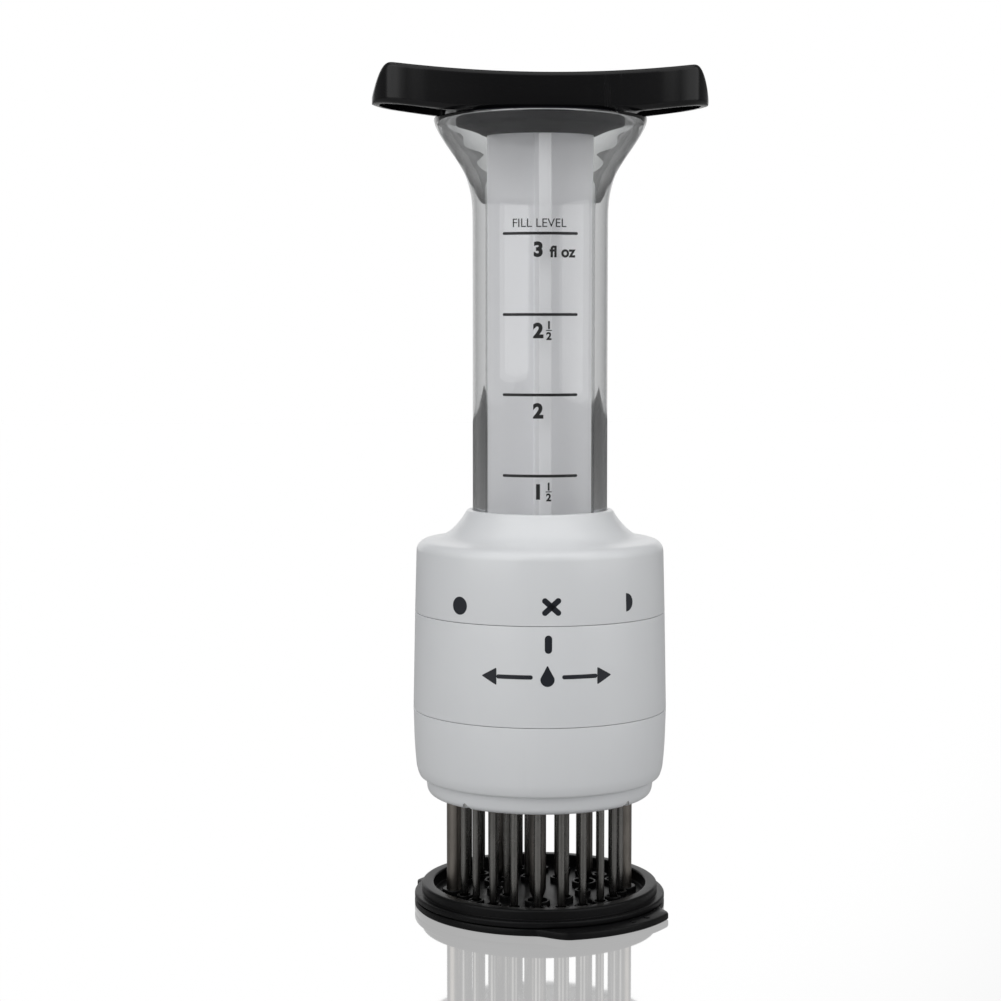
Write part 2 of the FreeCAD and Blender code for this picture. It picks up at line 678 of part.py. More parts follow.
def make_plunger_rod():
    """Cross-shaped rod with a swivel knob at its foot and a flange sunk in the plug."""
    rod = body_named("plunger_rod")
    spin_feature(rod, [
        ("0", "piston_top - 3.7"), ("swivel_radius", "piston_top - 3.7"),
        ("swivel_radius", "piston_top - 1.1"), ("swivel_neck", "piston_top - 1.1"),
        ("swivel_neck", "rod_level"), ("rod_radius", "rod_level"),
        ("rod_radius", "rod_level + rod_foot"), ("0", "rod_level + rod_foot"),
    ])
    web = "rod_web / 2"
    cross = []
    for x_sign, y_sign in ((1, 1), (-1, 1), (-1, -1), (1, -1)):
        long_x = (f"{x_sign} * rod_radius", f"{y_sign} * {web}")
        long_y = (f"{x_sign} * {web}", f"{y_sign} * rod_radius")
        inside = (f"{x_sign} * {web}", f"{y_sign} * {web}")
        cross += [long_x, inside, long_y] if x_sign * y_sign > 0 else [long_y, inside, long_x]
    pad_feature(rod, "rod_level + rod_foot / 2", "plug_level - rod_level - rod_foot / 2",
                outline=cross)
    pad_feature(rod, "plug_level", "rod_top_height", [("0", "0")], radius="rod_top_radius")
    doc.recompute()
    pocket_feature(rod, "plug_level - 1", "rod_top_height + 2", HANDLE_SCREWS,
                   radius="screw_radius + part_gap")
    pocket_feature(rod, "plug_level - 1", "handle_screw_sink + 1", HANDLE_SCREWS,
                   radius="handle_screw_head + part_gap")
    node(rod)


def make_plug():
    """Dished disc under the handle that closes the barrel's mouth and seats the rod's flange."""
    plug = body_named("handle_plug")
    spin_feature(plug, [
        ("0", "rod_top + part_gap"), ("rod_top_radius + part_gap", "rod_top + part_gap"),
        ("rod_top_radius + part_gap", "plug_level"), ("plug_foot", "plug_level"),
        ("plug_radius", "plug_level + plug_rise", "14", -1),
        ("plug_radius", "handle_level"), ("0", "handle_level"),
    ])
    doc.recompute()
    pocket_feature(plug, "plug_level", "plug_height + 1", HANDLE_SCREWS,
                   radius="screw_radius + part_gap")
    node(plug)


def make_handle():
    """Dished hand grip: one moulding, solid over the plug and hollow under both wings."""
    half, depth = "handle_length / 2", "handle_depth / 2"
    end = "handle_end_depth / 2"
    grip = body_named("handle_grip")
    elevation = new_sketch(grip, "XZ_Plane")
    top = "handle_level + handle_height"
    draw_outline(elevation, [
        ("-grip_flat", "handle_level"), ("grip_flat", "handle_level"),
        (f"{half} - 1", "handle_level + handle_lift"),
        (half, "handle_level + handle_lift + 1.2", "1.4", 1),
        (f"{half} - 4.8", f"{top} + handle_dish", "15", 1),
        (f"-({half} - 4.8)", f"{top} + handle_dish", "300", -1),
        (f"-({half})", "handle_level + handle_lift + 1.2", "15", 1),
        (f"-({half} - 1)", "handle_level + handle_lift", "1.4", 1),
    ])
    bar = grip.newObject("PartDesign::Pad", "handle_bar")
    bar.Profile = elevation
    bar.Midplane = True
    bar.setExpression("Length", formula("handle_depth + 4"))
    bar.Length = value("handle_depth + 4")
    doc.recompute()
    margin = f"({half} + 5)"
    sketch = new_sketch(grip, "XY_Plane", "handle_level - 5")
    draw_outline(sketch, [(f"-{margin}", f"-{margin}"), (margin, f"-{margin}"),
                          (margin, margin), (f"-{margin}", margin)])
    draw_outline(sketch, [
        (f"{half} - 7", f"-({end})", "230", 1), (half, "0", "13", 1),
        (f"{half} - 7", end, "13", 1), (f"-({half} - 7)", end, "230", 1),
        (f"-({half})", "0", "13", 1), (f"-({half} - 7)", f"-({end})", "13", 1),
    ])
    trim = grip.newObject("PartDesign::Pocket", "handle_plan")
    trim.Profile = sketch
    trim.Reversed = True
    trim.setExpression("Length", formula("handle_height + handle_dish + 10"))
    trim.Length = value("handle_height + handle_dish + 10")
    doc.recompute()
    for side in ("", "-"):
        near, far = f"{side}(grip_flat + 1.5)", f"{side}({half} - 8)"
        turn = 1 if side == "" else -1
        wall = f"({end} - handle_wall)"
        pocket_feature(grip, "handle_level - 1", "handle_height - 1", outline=[
            (near, f"-{wall}"), (far, f"-{wall}"),
            (far, wall, f"{wall} * 1.06", turn), (near, wall),
        ])
    pocket_feature(grip, "handle_level - 1", "handle_screw_bite + 1.2", HANDLE_SCREWS,
                   radius="screw_radius + part_gap / 2")
    return node(grip)


def make_handle_screws():
    """Two screws from inside the barrel, sunk in the rod's flange, up into the handle."""
    steps = [
        ("0", "plug_level + 0.1"), ("handle_screw_head", "plug_level + 0.1"),
        ("handle_screw_head", "plug_level + handle_screw_sink"),
        ("screw_radius", "plug_level + handle_screw_sink"),
        ("screw_radius", "handle_level + handle_screw_bite"),
        ("0", "handle_level + handle_screw_bite"),
    ]
    node(group("handle_screws", [turned(f"short_screw_{index}", steps, *spot)
                                 for index, spot in enumerate(HANDLE_SCREWS)]))


# ---------------------------------------------------------------- needle guard and lock ring
def make_guard_plate():
    """Guard: a dished plate with a collar round each needle, ribs, and a boss below."""
    guard = body_named("guard_plate")
    spin_feature(guard, [
        ("0", "base_level + base_thickness"), ("guard_boss", "base_level + base_thickness"),
        ("guard_boss", "flange_level"), ("guard_radius - 0.4", "flange_level"),
        ("guard_radius", "flange_level + 0.4", "0.4", 1),
        ("guard_radius", "rim_level - 0.6"),
        ("guard_radius - 0.6", "rim_level", "0.6", 1),
        ("rim_outer", "rim_level"), ("rim_outer", "guard_top - 0.7"),
        ("rim_outer - 0.7", "guard_top", "0.7", 1), ("rim_inner + 0.4", "guard_top"),
        ("rim_inner", "guard_top - 0.4", "0.4", 1), ("rim_inner", "guard_floor"),
        ("0", "guard_floor"),
    ])
    for angle in (45, 90, 135, 180):
        reach, side = "rim_inner + 0.5", "rib_width / 2"
        corners = []
        for along, across in (("-1", "-1"), ("1", "-1"), ("1", "1"), ("-1", "1")):
            u, v = f"({along} * ({reach}))", f"({across} * {side})"
            corners.append((f"{u} * cos({angle} deg) - {v} * sin({angle} deg)",
                            f"{u} * sin({angle} deg) + {v} * cos({angle} deg)"))
        pad_feature(guard, "guard_floor - 0.5", "collar_height * 0.6 + 0.5", outline=corners)
    pad_feature(guard, "guard_floor - 0.5", "collar_height + 0.5", PIN_PLACES,
                radius="pin_radius + needle_gap + collar_wall")
    pad_feature(guard, "guard_floor - 0.5", "collar_height + 0.5", TUBE_PLACES,
                radius="tube_needle_radius + needle_gap + collar_wall")
    pad_feature(guard, "guard_floor - 0.5", "collar_height + 0.5", POSTS,
                radius="post_radius + 1.3")
    doc.recompute()
    pocket_feature(guard, "0", "guard_floor + collar_height + 1", PIN_PLACES,
                   radius="pin_radius + needle_gap")
    pocket_feature(guard, "0", "guard_floor + collar_height + 1", TUBE_PLACES,
                   radius="tube_needle_radius + needle_gap")
    pocket_feature(guard, "guard_floor - 0.6", "collar_height + 3", POSTS,
                   radius="post_radius + part_gap / 2")
    pocket_feature(guard, "0", "guard_floor", POSTS, radius="screw_radius + part_gap / 2")
    pegs = [polar("boss_inner + peg_reach", angle) for angle in LOCK_PEGS]
    pad_feature(guard, "flange_level - 1", "1.4", pegs, radius="0.9")
    return node(guard)


def make_base_plate():
    """Thin disc under the guard's boss that keeps the lock ring on."""
    base = body_named("base_plate")
    pad_feature(base, "base_level", "base_thickness", [("0", "0")], radius="base_radius")
    doc.recompute()
    pocket_feature(base, "0", "base_thickness + 1", PIN_PLACES, radius="pin_radius + needle_gap")
    pocket_feature(base, "0", "base_thickness + 1", TUBE_PLACES,
                   radius="tube_needle_radius + needle_gap")
    pocket_feature(base, "0", "base_thickness + 1", POSTS,
                   radius="guard_screw_head + face_gap")
    return node(base)


def make_lock_ring():
    """Flat ring with two thumb lobes that turns under the guard, held by the base plate."""
    ring = body_named("lock_ring")
    steps = []
    for start in LOCK_LOBES:
        steps += [
            (*polar("guard_radius", start), "guard_radius", 1),
            polar("lock_radius", f"{start} + lobe_rise"),
            (*polar("lock_radius", f"{start} + lobe_span"), "lock_radius", 1),
            polar("guard_radius", f"{start} + lobe_end"),
        ]
    pad_feature(ring, "0", "lock_thickness", outline=steps)

    def corner(edge):
        upright = len(edge.Vertexes) == 2 and abs(edge.Vertexes[0].Z - edge.Vertexes[1].Z) > 1
        return upright

    fillet_feature(ring, "lobe_round", corner)
    doc.recompute()
    pocket_feature(ring, "-1", "lock_thickness + 2", [("0", "0")], radius="boss_inner")
    pocket_feature(ring, "-1", "lock_step + 1", [("0", "0")],
                   radius="base_radius + moving_gap")
    for angle in LOCK_PEGS:
        first, last = f"{angle} - lock_turn - peg_swing", f"{angle} + peg_swing"
        low, high = "boss_inner + peg_reach - peg_play", "boss_inner + peg_reach + peg_play"
        pocket_feature(ring, "lock_thickness - peg_play", "2", outline=[
            (*polar(low, first), low, -1), polar(high, first),
            (*polar(high, last), high, 1), polar(low, last),
        ])
    marks = [polar("lock_radius - 3 * mark_radius", angle) for angle in LOCK_MARKS]
    pad_feature(ring, "lock_thickness - 0.2", "0.5", marks, radius="mark_radius")
    return node(ring)


def make_posts():
    """Two steel guide posts with a clip groove, their clips and their screws."""
    posts, clips, screws = [], [], []
    for side, spot in enumerate(POSTS):
        posts.append(turned(f"post_{side}", [
            ("screw_radius", "post_foot"), ("post_radius", "post_foot"),
            ("post_radius", "clip_level"),
            ("post_radius - clip_bite", "clip_level"),
            ("post_radius - clip_bite", "spring_level"),
            ("post_radius", "spring_level"),
            ("post_radius", "post_top - 0.6"), ("post_radius - 0.6", "post_top"),
            ("0", "post_top"), ("0", "post_foot + 6"), ("screw_radius", "post_foot + 6"),
        ], *spot))
        clips.append(turned(f"clip_{side}", [
            ("post_radius - clip_bite", "clip_level"), ("clip_radius", "clip_level"),
            ("clip_radius", "spring_level"), ("post_radius - clip_bite", "spring_level"),
        ], *spot))
        screws.append(turned(f"guard_screw_{side}", [
            ("0", "base_level + part_gap"), ("guard_screw_head", "base_level + part_gap"),
            ("guard_screw_head", "base_level + base_thickness"),
            ("screw_radius", "base_level + base_thickness"),
            ("screw_radius", "post_foot + 5"), ("0", "post_foot + 5"),
        ], *spot))
    node(group("guide_posts", posts))
    node(group("post_clips", clips))
    node(group("guard_screws", screws))


def make_springs():
    """Two compression springs round the posts, between the clips and the spring bridge.  Each
    is round wire swept along short chords of its helix."""
    chords = 12
    turns = int(value("spring_coils"))
    radius, wire = value("coil_radius"), value("spring_wire")
    rise = value("spring_room - spring_wire - 2 * part_gap") / turns
    bends = []
    for index in range(turns * chords + 1):
        angle = math.tau * index / chords
        bends.append(App.Vector(radius * math.cos(angle), radius * math.sin(angle),
                                rise * index / chords))
    section = Part.Wire(Part.makeCircle(wire / 2, bends[0], bends[1] - bends[0]))
    coil = Part.makePolygon(bends).makePipeShell([section], True, False, 1)
    level = value("spring_level + spring_wire / 2 + part_gap")
    coils = []
    for side, spot in enumerate(POSTS):
        spring = doc.addObject("Part::Feature", f"spring_{side}")
        spring.Shape = coil
        spring.Placement = App.Placement(
            App.Vector(value(spot[0]), value(spot[1]), level), App.Rotation())
        coils.append(spring)
    node(group("return_springs", coils))


make_bottom_ring()
make_lower_cup()
make_dial_ring()
make_spring_bridge()
make_plates()
make_valve_rotor()
make_bushes()
make_housing_screws()
make_needles()
make_tube_needles()
make_tube()
make_top_housing()
make_neck_clip_and_nut()
make_valve_seat()
make_piston()
make_plunger_rod()
make_plug()
make_handle()
make_handle_screws()
make_guard_plate()
make_base_plate()
make_lock_ring()
make_posts()
make_springs()
doc.recompute()

# ---------------------------------------------------------------- checks and files
for item in doc.Objects:
    if "Invalid" in item.State or "Error" in item.State:
        raise RuntimeError(f"{item.Label} failed: {item.State}")
for part in NODES:
    if part.Shape.isNull() or not part.Shape.isValid() or not part.Shape.Solids:
        raise RuntimeError(f"{part.Label} has no valid solid")

os.makedirs("parts", exist_ok=True)
for part in NODES:
    part.Shape.exportStep(f"parts/{part.Label}.step")
box = Part.makeCompound([part.Shape for part in NODES]).BoundBox
print(f"{len(NODES)} nodes, {box.XLength:.1f} x {box.YLength:.1f} x {box.ZLength:.1f} mm")
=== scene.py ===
# Looks of the meat injector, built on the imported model.  Metres, +Z up, front towards -Y.
import math

import bmesh
import bpy
from mathutils import Matrix, Vector


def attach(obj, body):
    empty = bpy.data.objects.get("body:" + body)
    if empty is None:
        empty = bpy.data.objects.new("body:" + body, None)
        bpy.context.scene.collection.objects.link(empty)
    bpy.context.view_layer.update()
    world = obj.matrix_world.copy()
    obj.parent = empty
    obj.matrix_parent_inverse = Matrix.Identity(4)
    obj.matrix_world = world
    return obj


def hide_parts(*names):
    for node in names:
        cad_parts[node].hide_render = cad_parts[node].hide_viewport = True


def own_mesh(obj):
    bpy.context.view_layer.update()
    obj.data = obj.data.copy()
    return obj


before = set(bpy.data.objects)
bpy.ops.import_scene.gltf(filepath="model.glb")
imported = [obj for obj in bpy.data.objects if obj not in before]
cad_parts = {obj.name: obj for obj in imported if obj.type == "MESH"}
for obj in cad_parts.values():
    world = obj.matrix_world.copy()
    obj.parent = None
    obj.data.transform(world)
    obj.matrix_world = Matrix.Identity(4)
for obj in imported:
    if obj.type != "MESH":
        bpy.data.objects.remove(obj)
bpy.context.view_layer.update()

# ---------------------------------------------------------------- bottom ring
# Stepped ring that closes the housing from below.  Moulded in white ABS with a soft satin gloss;
# four long screws with sunk heads hold it up against the cup.
MM = 0.001
BOSS_ANGLES = (45, 135, 225, 315)


class Term:
    """A shader output in a sum; numbers and other outputs may stand on either side of it."""

    def __init__(self, finish, socket):
        self.finish, self.socket = finish, socket

    def maths(self, operation, first, second):
        return self.finish.maths(operation, first, second)

    def __add__(self, other):
        return self.maths("ADD", self, other)

    def __radd__(self, other):
        return self.maths("ADD", other, self)

    def __sub__(self, other):
        return self.maths("SUBTRACT", self, other)

    def __rsub__(self, other):
        return self.maths("SUBTRACT", other, self)

    def __mul__(self, other):
        return self.maths("MULTIPLY", self, other)

    def __rmul__(self, other):
        return self.maths("MULTIPLY", other, self)


class Finish:
    """A material while it is mixed: fixed settings go straight on the shader's sockets."""

    def __init__(self, name, fixed):
        self.material = bpy.data.materials.new(name)
        self.material.use_nodes = True
        self.tree = self.material.node_tree
        self.shader = self.tree.nodes["Principled BSDF"]
        self.place = self.node("ShaderNodeTexCoord", output="Object")
        self.feed(self.shader, fixed)

    def feed(self, target, sockets):
        for name, given in sockets.items():
            if isinstance(given, Term):
                self.tree.links.new(given.socket, target.inputs[name])
            else:
                target.inputs[name].default_value = given

    def node(self, kind, settings=None, sockets=None, output=0):
        made = self.tree.nodes.new(kind)
        for name, setting in (settings or {}).items():
            setattr(made, name, setting)
        self.feed(made, sockets or {})
        return Term(self, made.outputs[output])

    def maths(self, operation, first, second):
        return self.node("ShaderNodeMath", {"operation": operation}, {0: first, 1: second})

    def cloud(self, scale, detail=2.0, stretch=(1, 1, 1), rough=0.5):
        """Noise with so many spots to the metre, drawn out along an axis by a small number."""
        spot = self.node("ShaderNodeMapping", {"vector_type": "POINT"},
                         {"Vector": self.place, "Scale": stretch})
        return self.node("ShaderNodeTexNoise", {"noise_dimensions": "3D"},
                         {"Vector": spot, "Scale": scale, "Detail": detail, "Roughness": rough})

    def between(self, field, low, high):
        """0 where the field is under low, 1 where it is over high, and a slope between them."""
        return self.node("ShaderNodeMapRange", {"clamp": True},
                         {"Value": field, "From Min": low, "From Max": high})

    def blend(self, first, second, share):
        return self.node("ShaderNodeMix", {"data_type": "RGBA"},
                         {0: share, 6: (*first, 1.0) if isinstance(first, tuple) else first,
                          7: (*second, 1.0) if isinstance(second, tuple) else second}, output=2)

    def raised(self, field, depth, strength=1.0):
        """Normals of a skin that rises by the depth, in millimetres, where the field is 1."""
        return self.node("ShaderNodeBump", {}, {"Height": field, "Distance": depth * MM,
                                                "Strength": strength})

    def done(self, **sockets):
        self.feed(self.shader, {name.replace("_", " "): given for name, given in sockets.items()})
        return self.material


def moulded(name, tone, shade, gloss, skin=0.004, scuffs=0.08, **fixed):
    """Injection-moulded plastic: faint flow clouding, a fine skin and a few wiped scuffs."""
    finish = Finish(name, {label.replace("_", " "): given for label, given in fixed.items()})
    flow = finish.between(finish.cloud(28, 3, (1, 1, 0.5)), 0.35, 0.68)
    grain = finish.cloud(1900, 2)
    wiped = finish.between(finish.cloud(260, 4, (1, 1, 0.12), 0.6), 0.60, 0.74)
    rough = flow * 0.04 + wiped * scuffs + gloss
    return finish.done(Base_Color=finish.blend(tone, shade, flow * 0.6 + wiped * 0.15),
                       Roughness=rough, Normal=finish.raised(grain + flow * 6, skin))


def turned(outline, x=0.0, y=0.0, count=128):
    """A solid turned round the upright axis at (x, y) from (radius, height) corners in
    millimetres.  A third number rounds the corner, starting that far back along its sides."""
    bm = bmesh.new()
    corners = [bm.verts.new((step[0] * MM, 0, step[1] * MM)) for step in outline]
    for index, corner in enumerate(corners):
        if outline[index - 1][0] > 0 or outline[index][0] > 0:
            bm.edges.new((corners[index - 1], corner))
    for corner, step in zip(corners, outline):
        if len(step) == 3:
            bmesh.ops.bevel(bm, geom=[corner], offset=step[2] * MM, offset_type="OFFSET",
                            affect="VERTICES", segments=6, profile=0.5, material=-1)
    bmesh.ops.spin(bm, geom=bm.verts[:] + bm.edges[:], cent=(0, 0, 0), axis=(0, 0, 1),
                   dvec=(0, 0, 0), angle=math.tau, steps=count, use_merge=True)
    bmesh.ops.remove_doubles(bm, verts=bm.verts[:], dist=1e-7)
    bmesh.ops.recalc_face_normals(bm, faces=bm.faces[:])
    bmesh.ops.translate(bm, vec=(x * MM, y * MM, 0), verts=bm.verts[:])
    return bm


def joined(*shapes):
    """Several meshes as one."""
    whole = bmesh.new()
    for shape in shapes:
        mesh = bpy.data.meshes.new("part")
        shape.to_mesh(mesh)
        shape.free()
        whole.from_mesh(mesh)
        bpy.data.meshes.remove(mesh)
    return whole


def shown(name, bm, material, body, slot, *nodes):
    """The mesh as a piece: smooth, crisp at its corners, riding on a body in place of nodes."""
    mesh = bpy.data.meshes.new(name)
    bm.to_mesh(mesh)
    bm.free()
    mesh.shade_smooth()
    mesh.set_sharp_from_angle(angle=math.radians(34))
    mesh.materials.append(material)
    made = bpy.data.objects.new(name, mesh)
    bpy.context.scene.collection.objects.link(made)
    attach(made, body)
    if nodes:
        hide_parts(*nodes)
    return made


def bored(blank, tools):
    """The blank with the tools' shapes taken away."""
    objects = []
    for role, shape in (("blank", blank), ("tools", tools)):
        mesh = bpy.data.meshes.new(role)
        shape.to_mesh(mesh)
        shape.free()
        objects.append(bpy.data.objects.new(role, mesh))
        bpy.context.scene.collection.objects.link(objects[-1])
    cut = objects[0].modifiers.new("bore", "BOOLEAN")
    cut.operation = "DIFFERENCE"
    cut.solver = "EXACT"
    cut.object = objects[1]
    done = objects[0].evaluated_get(bpy.context.evaluated_depsgraph_get())
    left = bmesh.new()
    left.from_mesh(done.to_mesh())
    done.to_mesh_clear()
    for spent in objects:
        mesh = spent.data
        bpy.data.objects.remove(spent)
        bpy.data.meshes.remove(mesh)
    return left


def polar(radius, angle):
    return radius * math.cos(math.radians(angle)), radius * math.sin(math.radians(angle))


def drill(radius, low, high, x=0.0, y=0.0, count=28):
    return turned([(0, low), (radius, low), (radius, high), (0, high)], x, y, count)


white = moulded("white_abs", (0.77, 0.785, 0.80), (0.72, 0.735, 0.755), 0.30, skin=0.0025,
                Coat_Weight=0.25, Coat_Roughness=0.12)

bosses = [polar(29.15, angle) for angle in BOSS_ANGLES]
ring = turned([(26.05, 31.0, 0.3), (30.3, 31.0, 1.6), (30.9, 34.0, 1.0), (30.9, 35.8, 0.15),
               (30.5, 35.8), (30.5, 39.8), (27.6, 39.8), (27.6, 32.0), (26.05, 32.0)])
counterbores = joined(*[drill(1.5, 30, 33.2, *spot) for spot in bosses])
shown("bottom_ring_shell", bored(ring, counterbores), white, "needle_housing", "white_shell",
      "bottom_ring")

# ---------------------------------------------------------------- needle plates and valve
# Clamp, needle plate, manifold and spring bridge are nylon mouldings, the gasket a rubber disc and
# the bushes slippery acetal.  They are stacked inside the ring and clamped by the cup's ledge.
nylon = moulded("white_nylon", (0.72, 0.72, 0.70), (0.62, 0.62, 0.60), 0.42, skin=0.004)
acetal = moulded("acetal", (0.66, 0.66, 0.63), (0.58, 0.58, 0.55), 0.32, skin=0.002)


def rubber(name, tone, shade):
    """Matt rubber with a dusty bloom."""
    finish = Finish(name, {"Specular IOR Level": 0.4})
    bloom = finish.between(finish.cloud(90, 5), 0.40, 0.70)
    return finish.done(Base_Color=finish.blend(tone, shade, bloom), Roughness=bloom * 0.15 + 0.62,
                       Normal=finish.raised(finish.cloud(2600, 3), 0.012))


seal_rubber = rubber("seal_rubber", (0.05, 0.05, 0.052), (0.10, 0.10, 0.10))


def dress(material, *nodes):
    """A finish for pieces whose CAD shape stays."""
    for name in nodes:
        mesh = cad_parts[name].data
        mesh.materials.clear()
        mesh.materials.append(material)


dress(nylon, "needle_clamp", "needle_plate", "valve_rotor", "spring_bridge")
dress(acetal, "guide_bushes")
dress(seal_rubber, "needle_gasket")

# ---------------------------------------------------------------- tenderizing needles
# Solid stainless pins, ground to a point and headed, pushed down through the needle plate.  The
# drawn wire keeps fine lines along its length.
PIN_RADIUS = 1.05
NEEDLE_HEAD = 37.0


def drawn_steel(name, tone, shade, gloss, lines=0.10):
    """Stainless steel with drawing lines along Z and slight clouding."""
    finish = Finish(name, {"Metallic": 1.0})
    line = finish.cloud(1500, 3, (1, 1, 0.02), 0.6)
    cloud = finish.between(finish.cloud(120, 3), 0.35, 0.7)
    return finish.done(Base_Color=finish.blend(tone, shade, line * 0.5 + cloud * 0.5),
                       Roughness=line * lines + cloud * 0.06 + gloss,
                       Normal=finish.raised(line, 0.003))


needle_steel = drawn_steel("needle_steel", (0.23, 0.225, 0.215), (0.14, 0.137, 0.13), 0.20)
needle_places = {f"needle_outer_{number:02d}": polar(22.0, 2 + 360 * place / 22)
                 for number, place in enumerate((p for p in range(22) if p not in (0, 11)), 1)}
needle_places.update({f"needle_middle_{number:02d}": polar(12.25, 20 + 40 * place)
                      for number, place in enumerate((p for p in range(9) if p % 3), 1)})
for name, spot in needle_places.items():
    pin = turned([(0, 1.4), (PIN_RADIUS, 5.4, 0.5), (PIN_RADIUS, NEEDLE_HEAD - 0.8),
                  (1.75, NEEDLE_HEAD - 0.8), (1.75, NEEDLE_HEAD), (0, NEEDLE_HEAD)], *spot, 24)
    shown("pin_" + name[7:], pin, needle_steel, "needle_housing", "needle_steel", name)

# ---------------------------------------------------------------- injector needles
# Three wider hollow needles with closed points.  Side holes near the point let the marinade out.
# Same stainless steel, welded shut at the tip.
TUBE_NEEDLE_ANGLES = (23, 143, 263)
TUBE_NEEDLE_CIRCLE = 14.1
NEEDLE_BORE = 1.1


def side_drill(height):
    bm = drill(0.6, -4, 4, count=16)
    bmesh.ops.rotate(bm, cent=(0, 0, 0), matrix=Matrix.Rotation(math.radians(90), 3, "X"),
                     verts=bm.verts[:])
    bmesh.ops.translate(bm, vec=(0, 0, height * MM), verts=bm.verts[:])
    return bm


tube_needle_steel = drawn_steel("tube_needle_steel", (0.19, 0.178, 0.165),
                                (0.11, 0.103, 0.096), 0.22)
for number, angle in enumerate(TUBE_NEEDLE_ANGLES, 1):
    tube = turned([(0, 1.4), (2.3, 7.4, 0.8), (2.3, 36.2), (2.9, 36.2), (2.9, 37.0), (2.3, 37.0),
                   (2.3, 38.0), (NEEDLE_BORE, 38.0), (NEEDLE_BORE, 8.4), (0, 7.4)], count=40)
    tube = bored(tube, joined(side_drill(10.4), side_drill(15.4)))
    spot = polar(TUBE_NEEDLE_CIRCLE, angle)
    bmesh.ops.translate(tube, vec=(spot[0] * MM, spot[1] * MM, 0), verts=tube.verts[:])
    shown(f"injector_tube_{number}", tube, tube_needle_steel, "needle_housing", "needle_steel",
          f"injector_needle_{number}")

# ---------------------------------------------------------------- lower cup
# White cup above the stepped ring; its ledge clamps the needle plates.  Same ABS as the ring, with
# a turned-in lower edge and a thin seam above.
cup = turned([(30.6, 35.95), (32.6, 35.95, 0.7), (33.5, 38.0, 1.4), (34.1, 44.5, 3.0),
              (34.4, 54.65, 0.1), (31.3, 54.65), (31.3, 42.0), (26.8, 42.0), (26.8, 39.8),
              (30.6, 39.8)])
pillars = [turned([(0.95, 41.5), (2.4, 41.5), (2.4, 50.8), (0.95, 50.8)], *spot, 32)
           for spot in bosses]
shown("cup_shell", joined(cup, *pillars), white, "needle_housing", "white_shell", "lower_cup")

# ---------------------------------------------------------------- dial ring
# White middle ring with the printed pointer.  It screws down on the cup and holds the beaded skirt
# of the barrel housing, which turns in it.
dial = turned([(29.8, 50.8), (31.2, 50.8), (31.2, 54.8), (34.4, 54.8, 0.1), (33.9, 81.05, 0.1),
               (30.7, 81.05), (30.7, 78.4), (31.3, 78.4), (31.3, 57.0), (29.8, 55.5)])
pillars = [turned([(0.95, 50.8), (2.4, 50.8), (2.4, 73.0), (0.95, 73.0)], *spot, 32)
           for spot in bosses]
shown("dial_shell", joined(dial, *pillars), white, "needle_housing", "white_shell", "dial_ring")


def ink(name, tone, shade, gloss):
    """Pad-printed ink, a thin even film, slightly broken where it was pressed on."""
    finish = Finish(name, {"Specular IOR Level": 0.45})
    grain = finish.cloud(3200, 3)
    return finish.done(Base_Color=finish.blend(tone, shade, finish.between(grain, 0.5, 0.8)),
                       Roughness=grain * 0.15 + gloss, Normal=finish.raised(grain, 0.003))


def printed(name, flat, radius, angle, level, material, body):
    """A flat figure in millimetres laid round a turned wall: its x goes round from an angle, its
    y up from a level.  The radius is a number, or two (height, radius) pairs of a cone."""
    reach = max(abs(vertex.co.x) for vertex in flat.verts)
    for station in range(-int(reach), int(reach) + 1):
        bmesh.ops.bisect_plane(flat, geom=flat.verts[:] + flat.edges[:] + flat.faces[:],
                               plane_co=(station, 0, 0), plane_no=(1, 0, 0), dist=1e-5)
    bmesh.ops.recalc_face_normals(flat, faces=flat.faces[:])
    raised = bmesh.ops.extrude_face_region(flat, geom=flat.faces[:])
    for item in raised["geom"]:
        if isinstance(item, bmesh.types.BMVert):
            item.co.z = 1
    for vertex in flat.verts:
        height = level + vertex.co.y
        wall = radius
        if not isinstance(radius, (int, float)):
            (low, wide), (high, narrow) = radius
            wall = wide + (narrow - wide) * (height - low) / (high - low)
        turn = math.radians(angle) + vertex.co.x / wall
        out = (wall - 0.02 + 0.055 * vertex.co.z) * MM
        vertex.co = (out * math.cos(turn), out * math.sin(turn), height * MM)
    bmesh.ops.recalc_face_normals(flat, faces=flat.faces[:])
    return shown(name, flat, material, body, "black_handle")


def capsule(width, height):
    """A flat bar with round ends, centred."""
    bm = bmesh.new()
    bmesh.ops.create_circle(bm, cap_ends=True, segments=32, radius=min(width, height) / 2)
    stretch = abs(width - height) / 2
    for vertex in bm.verts:
        if width > height:
            vertex.co.x += math.copysign(stretch, vertex.co.x)
        else:
            vertex.co.y += math.copysign(stretch, vertex.co.y)
    return bm


DIAL_WALL = ((54.8, 34.4), (81.05, 33.9))
navy_ink = ink("navy_ink", (0.006, 0.008, 0.014), (0.012, 0.014, 0.022), 0.35)
printed("pointer_mark", capsule(1.9, 4.7), DIAL_WALL, -91.2, 76.5, navy_ink, "needle_housing")


def shifted(bm, x, y):
    bmesh.ops.translate(bm, vec=(x, y, 0), verts=bm.verts[:])
    return bm


def arrowhead(side):
    bm = bmesh.new()
    tip = [bm.verts.new((side * x, y, 0)) for x, y in ((17.6, 0), (13.4, 2.3), (13.4, -2.3))]
    bm.faces.new(tip if side > 0 else reversed(tip))
    bmesh.ops.bevel(bm, geom=bm.verts[:], offset=0.35, offset_type="OFFSET", affect="VERTICES",
                    segments=4, profile=0.5, material=-1)
    return bm


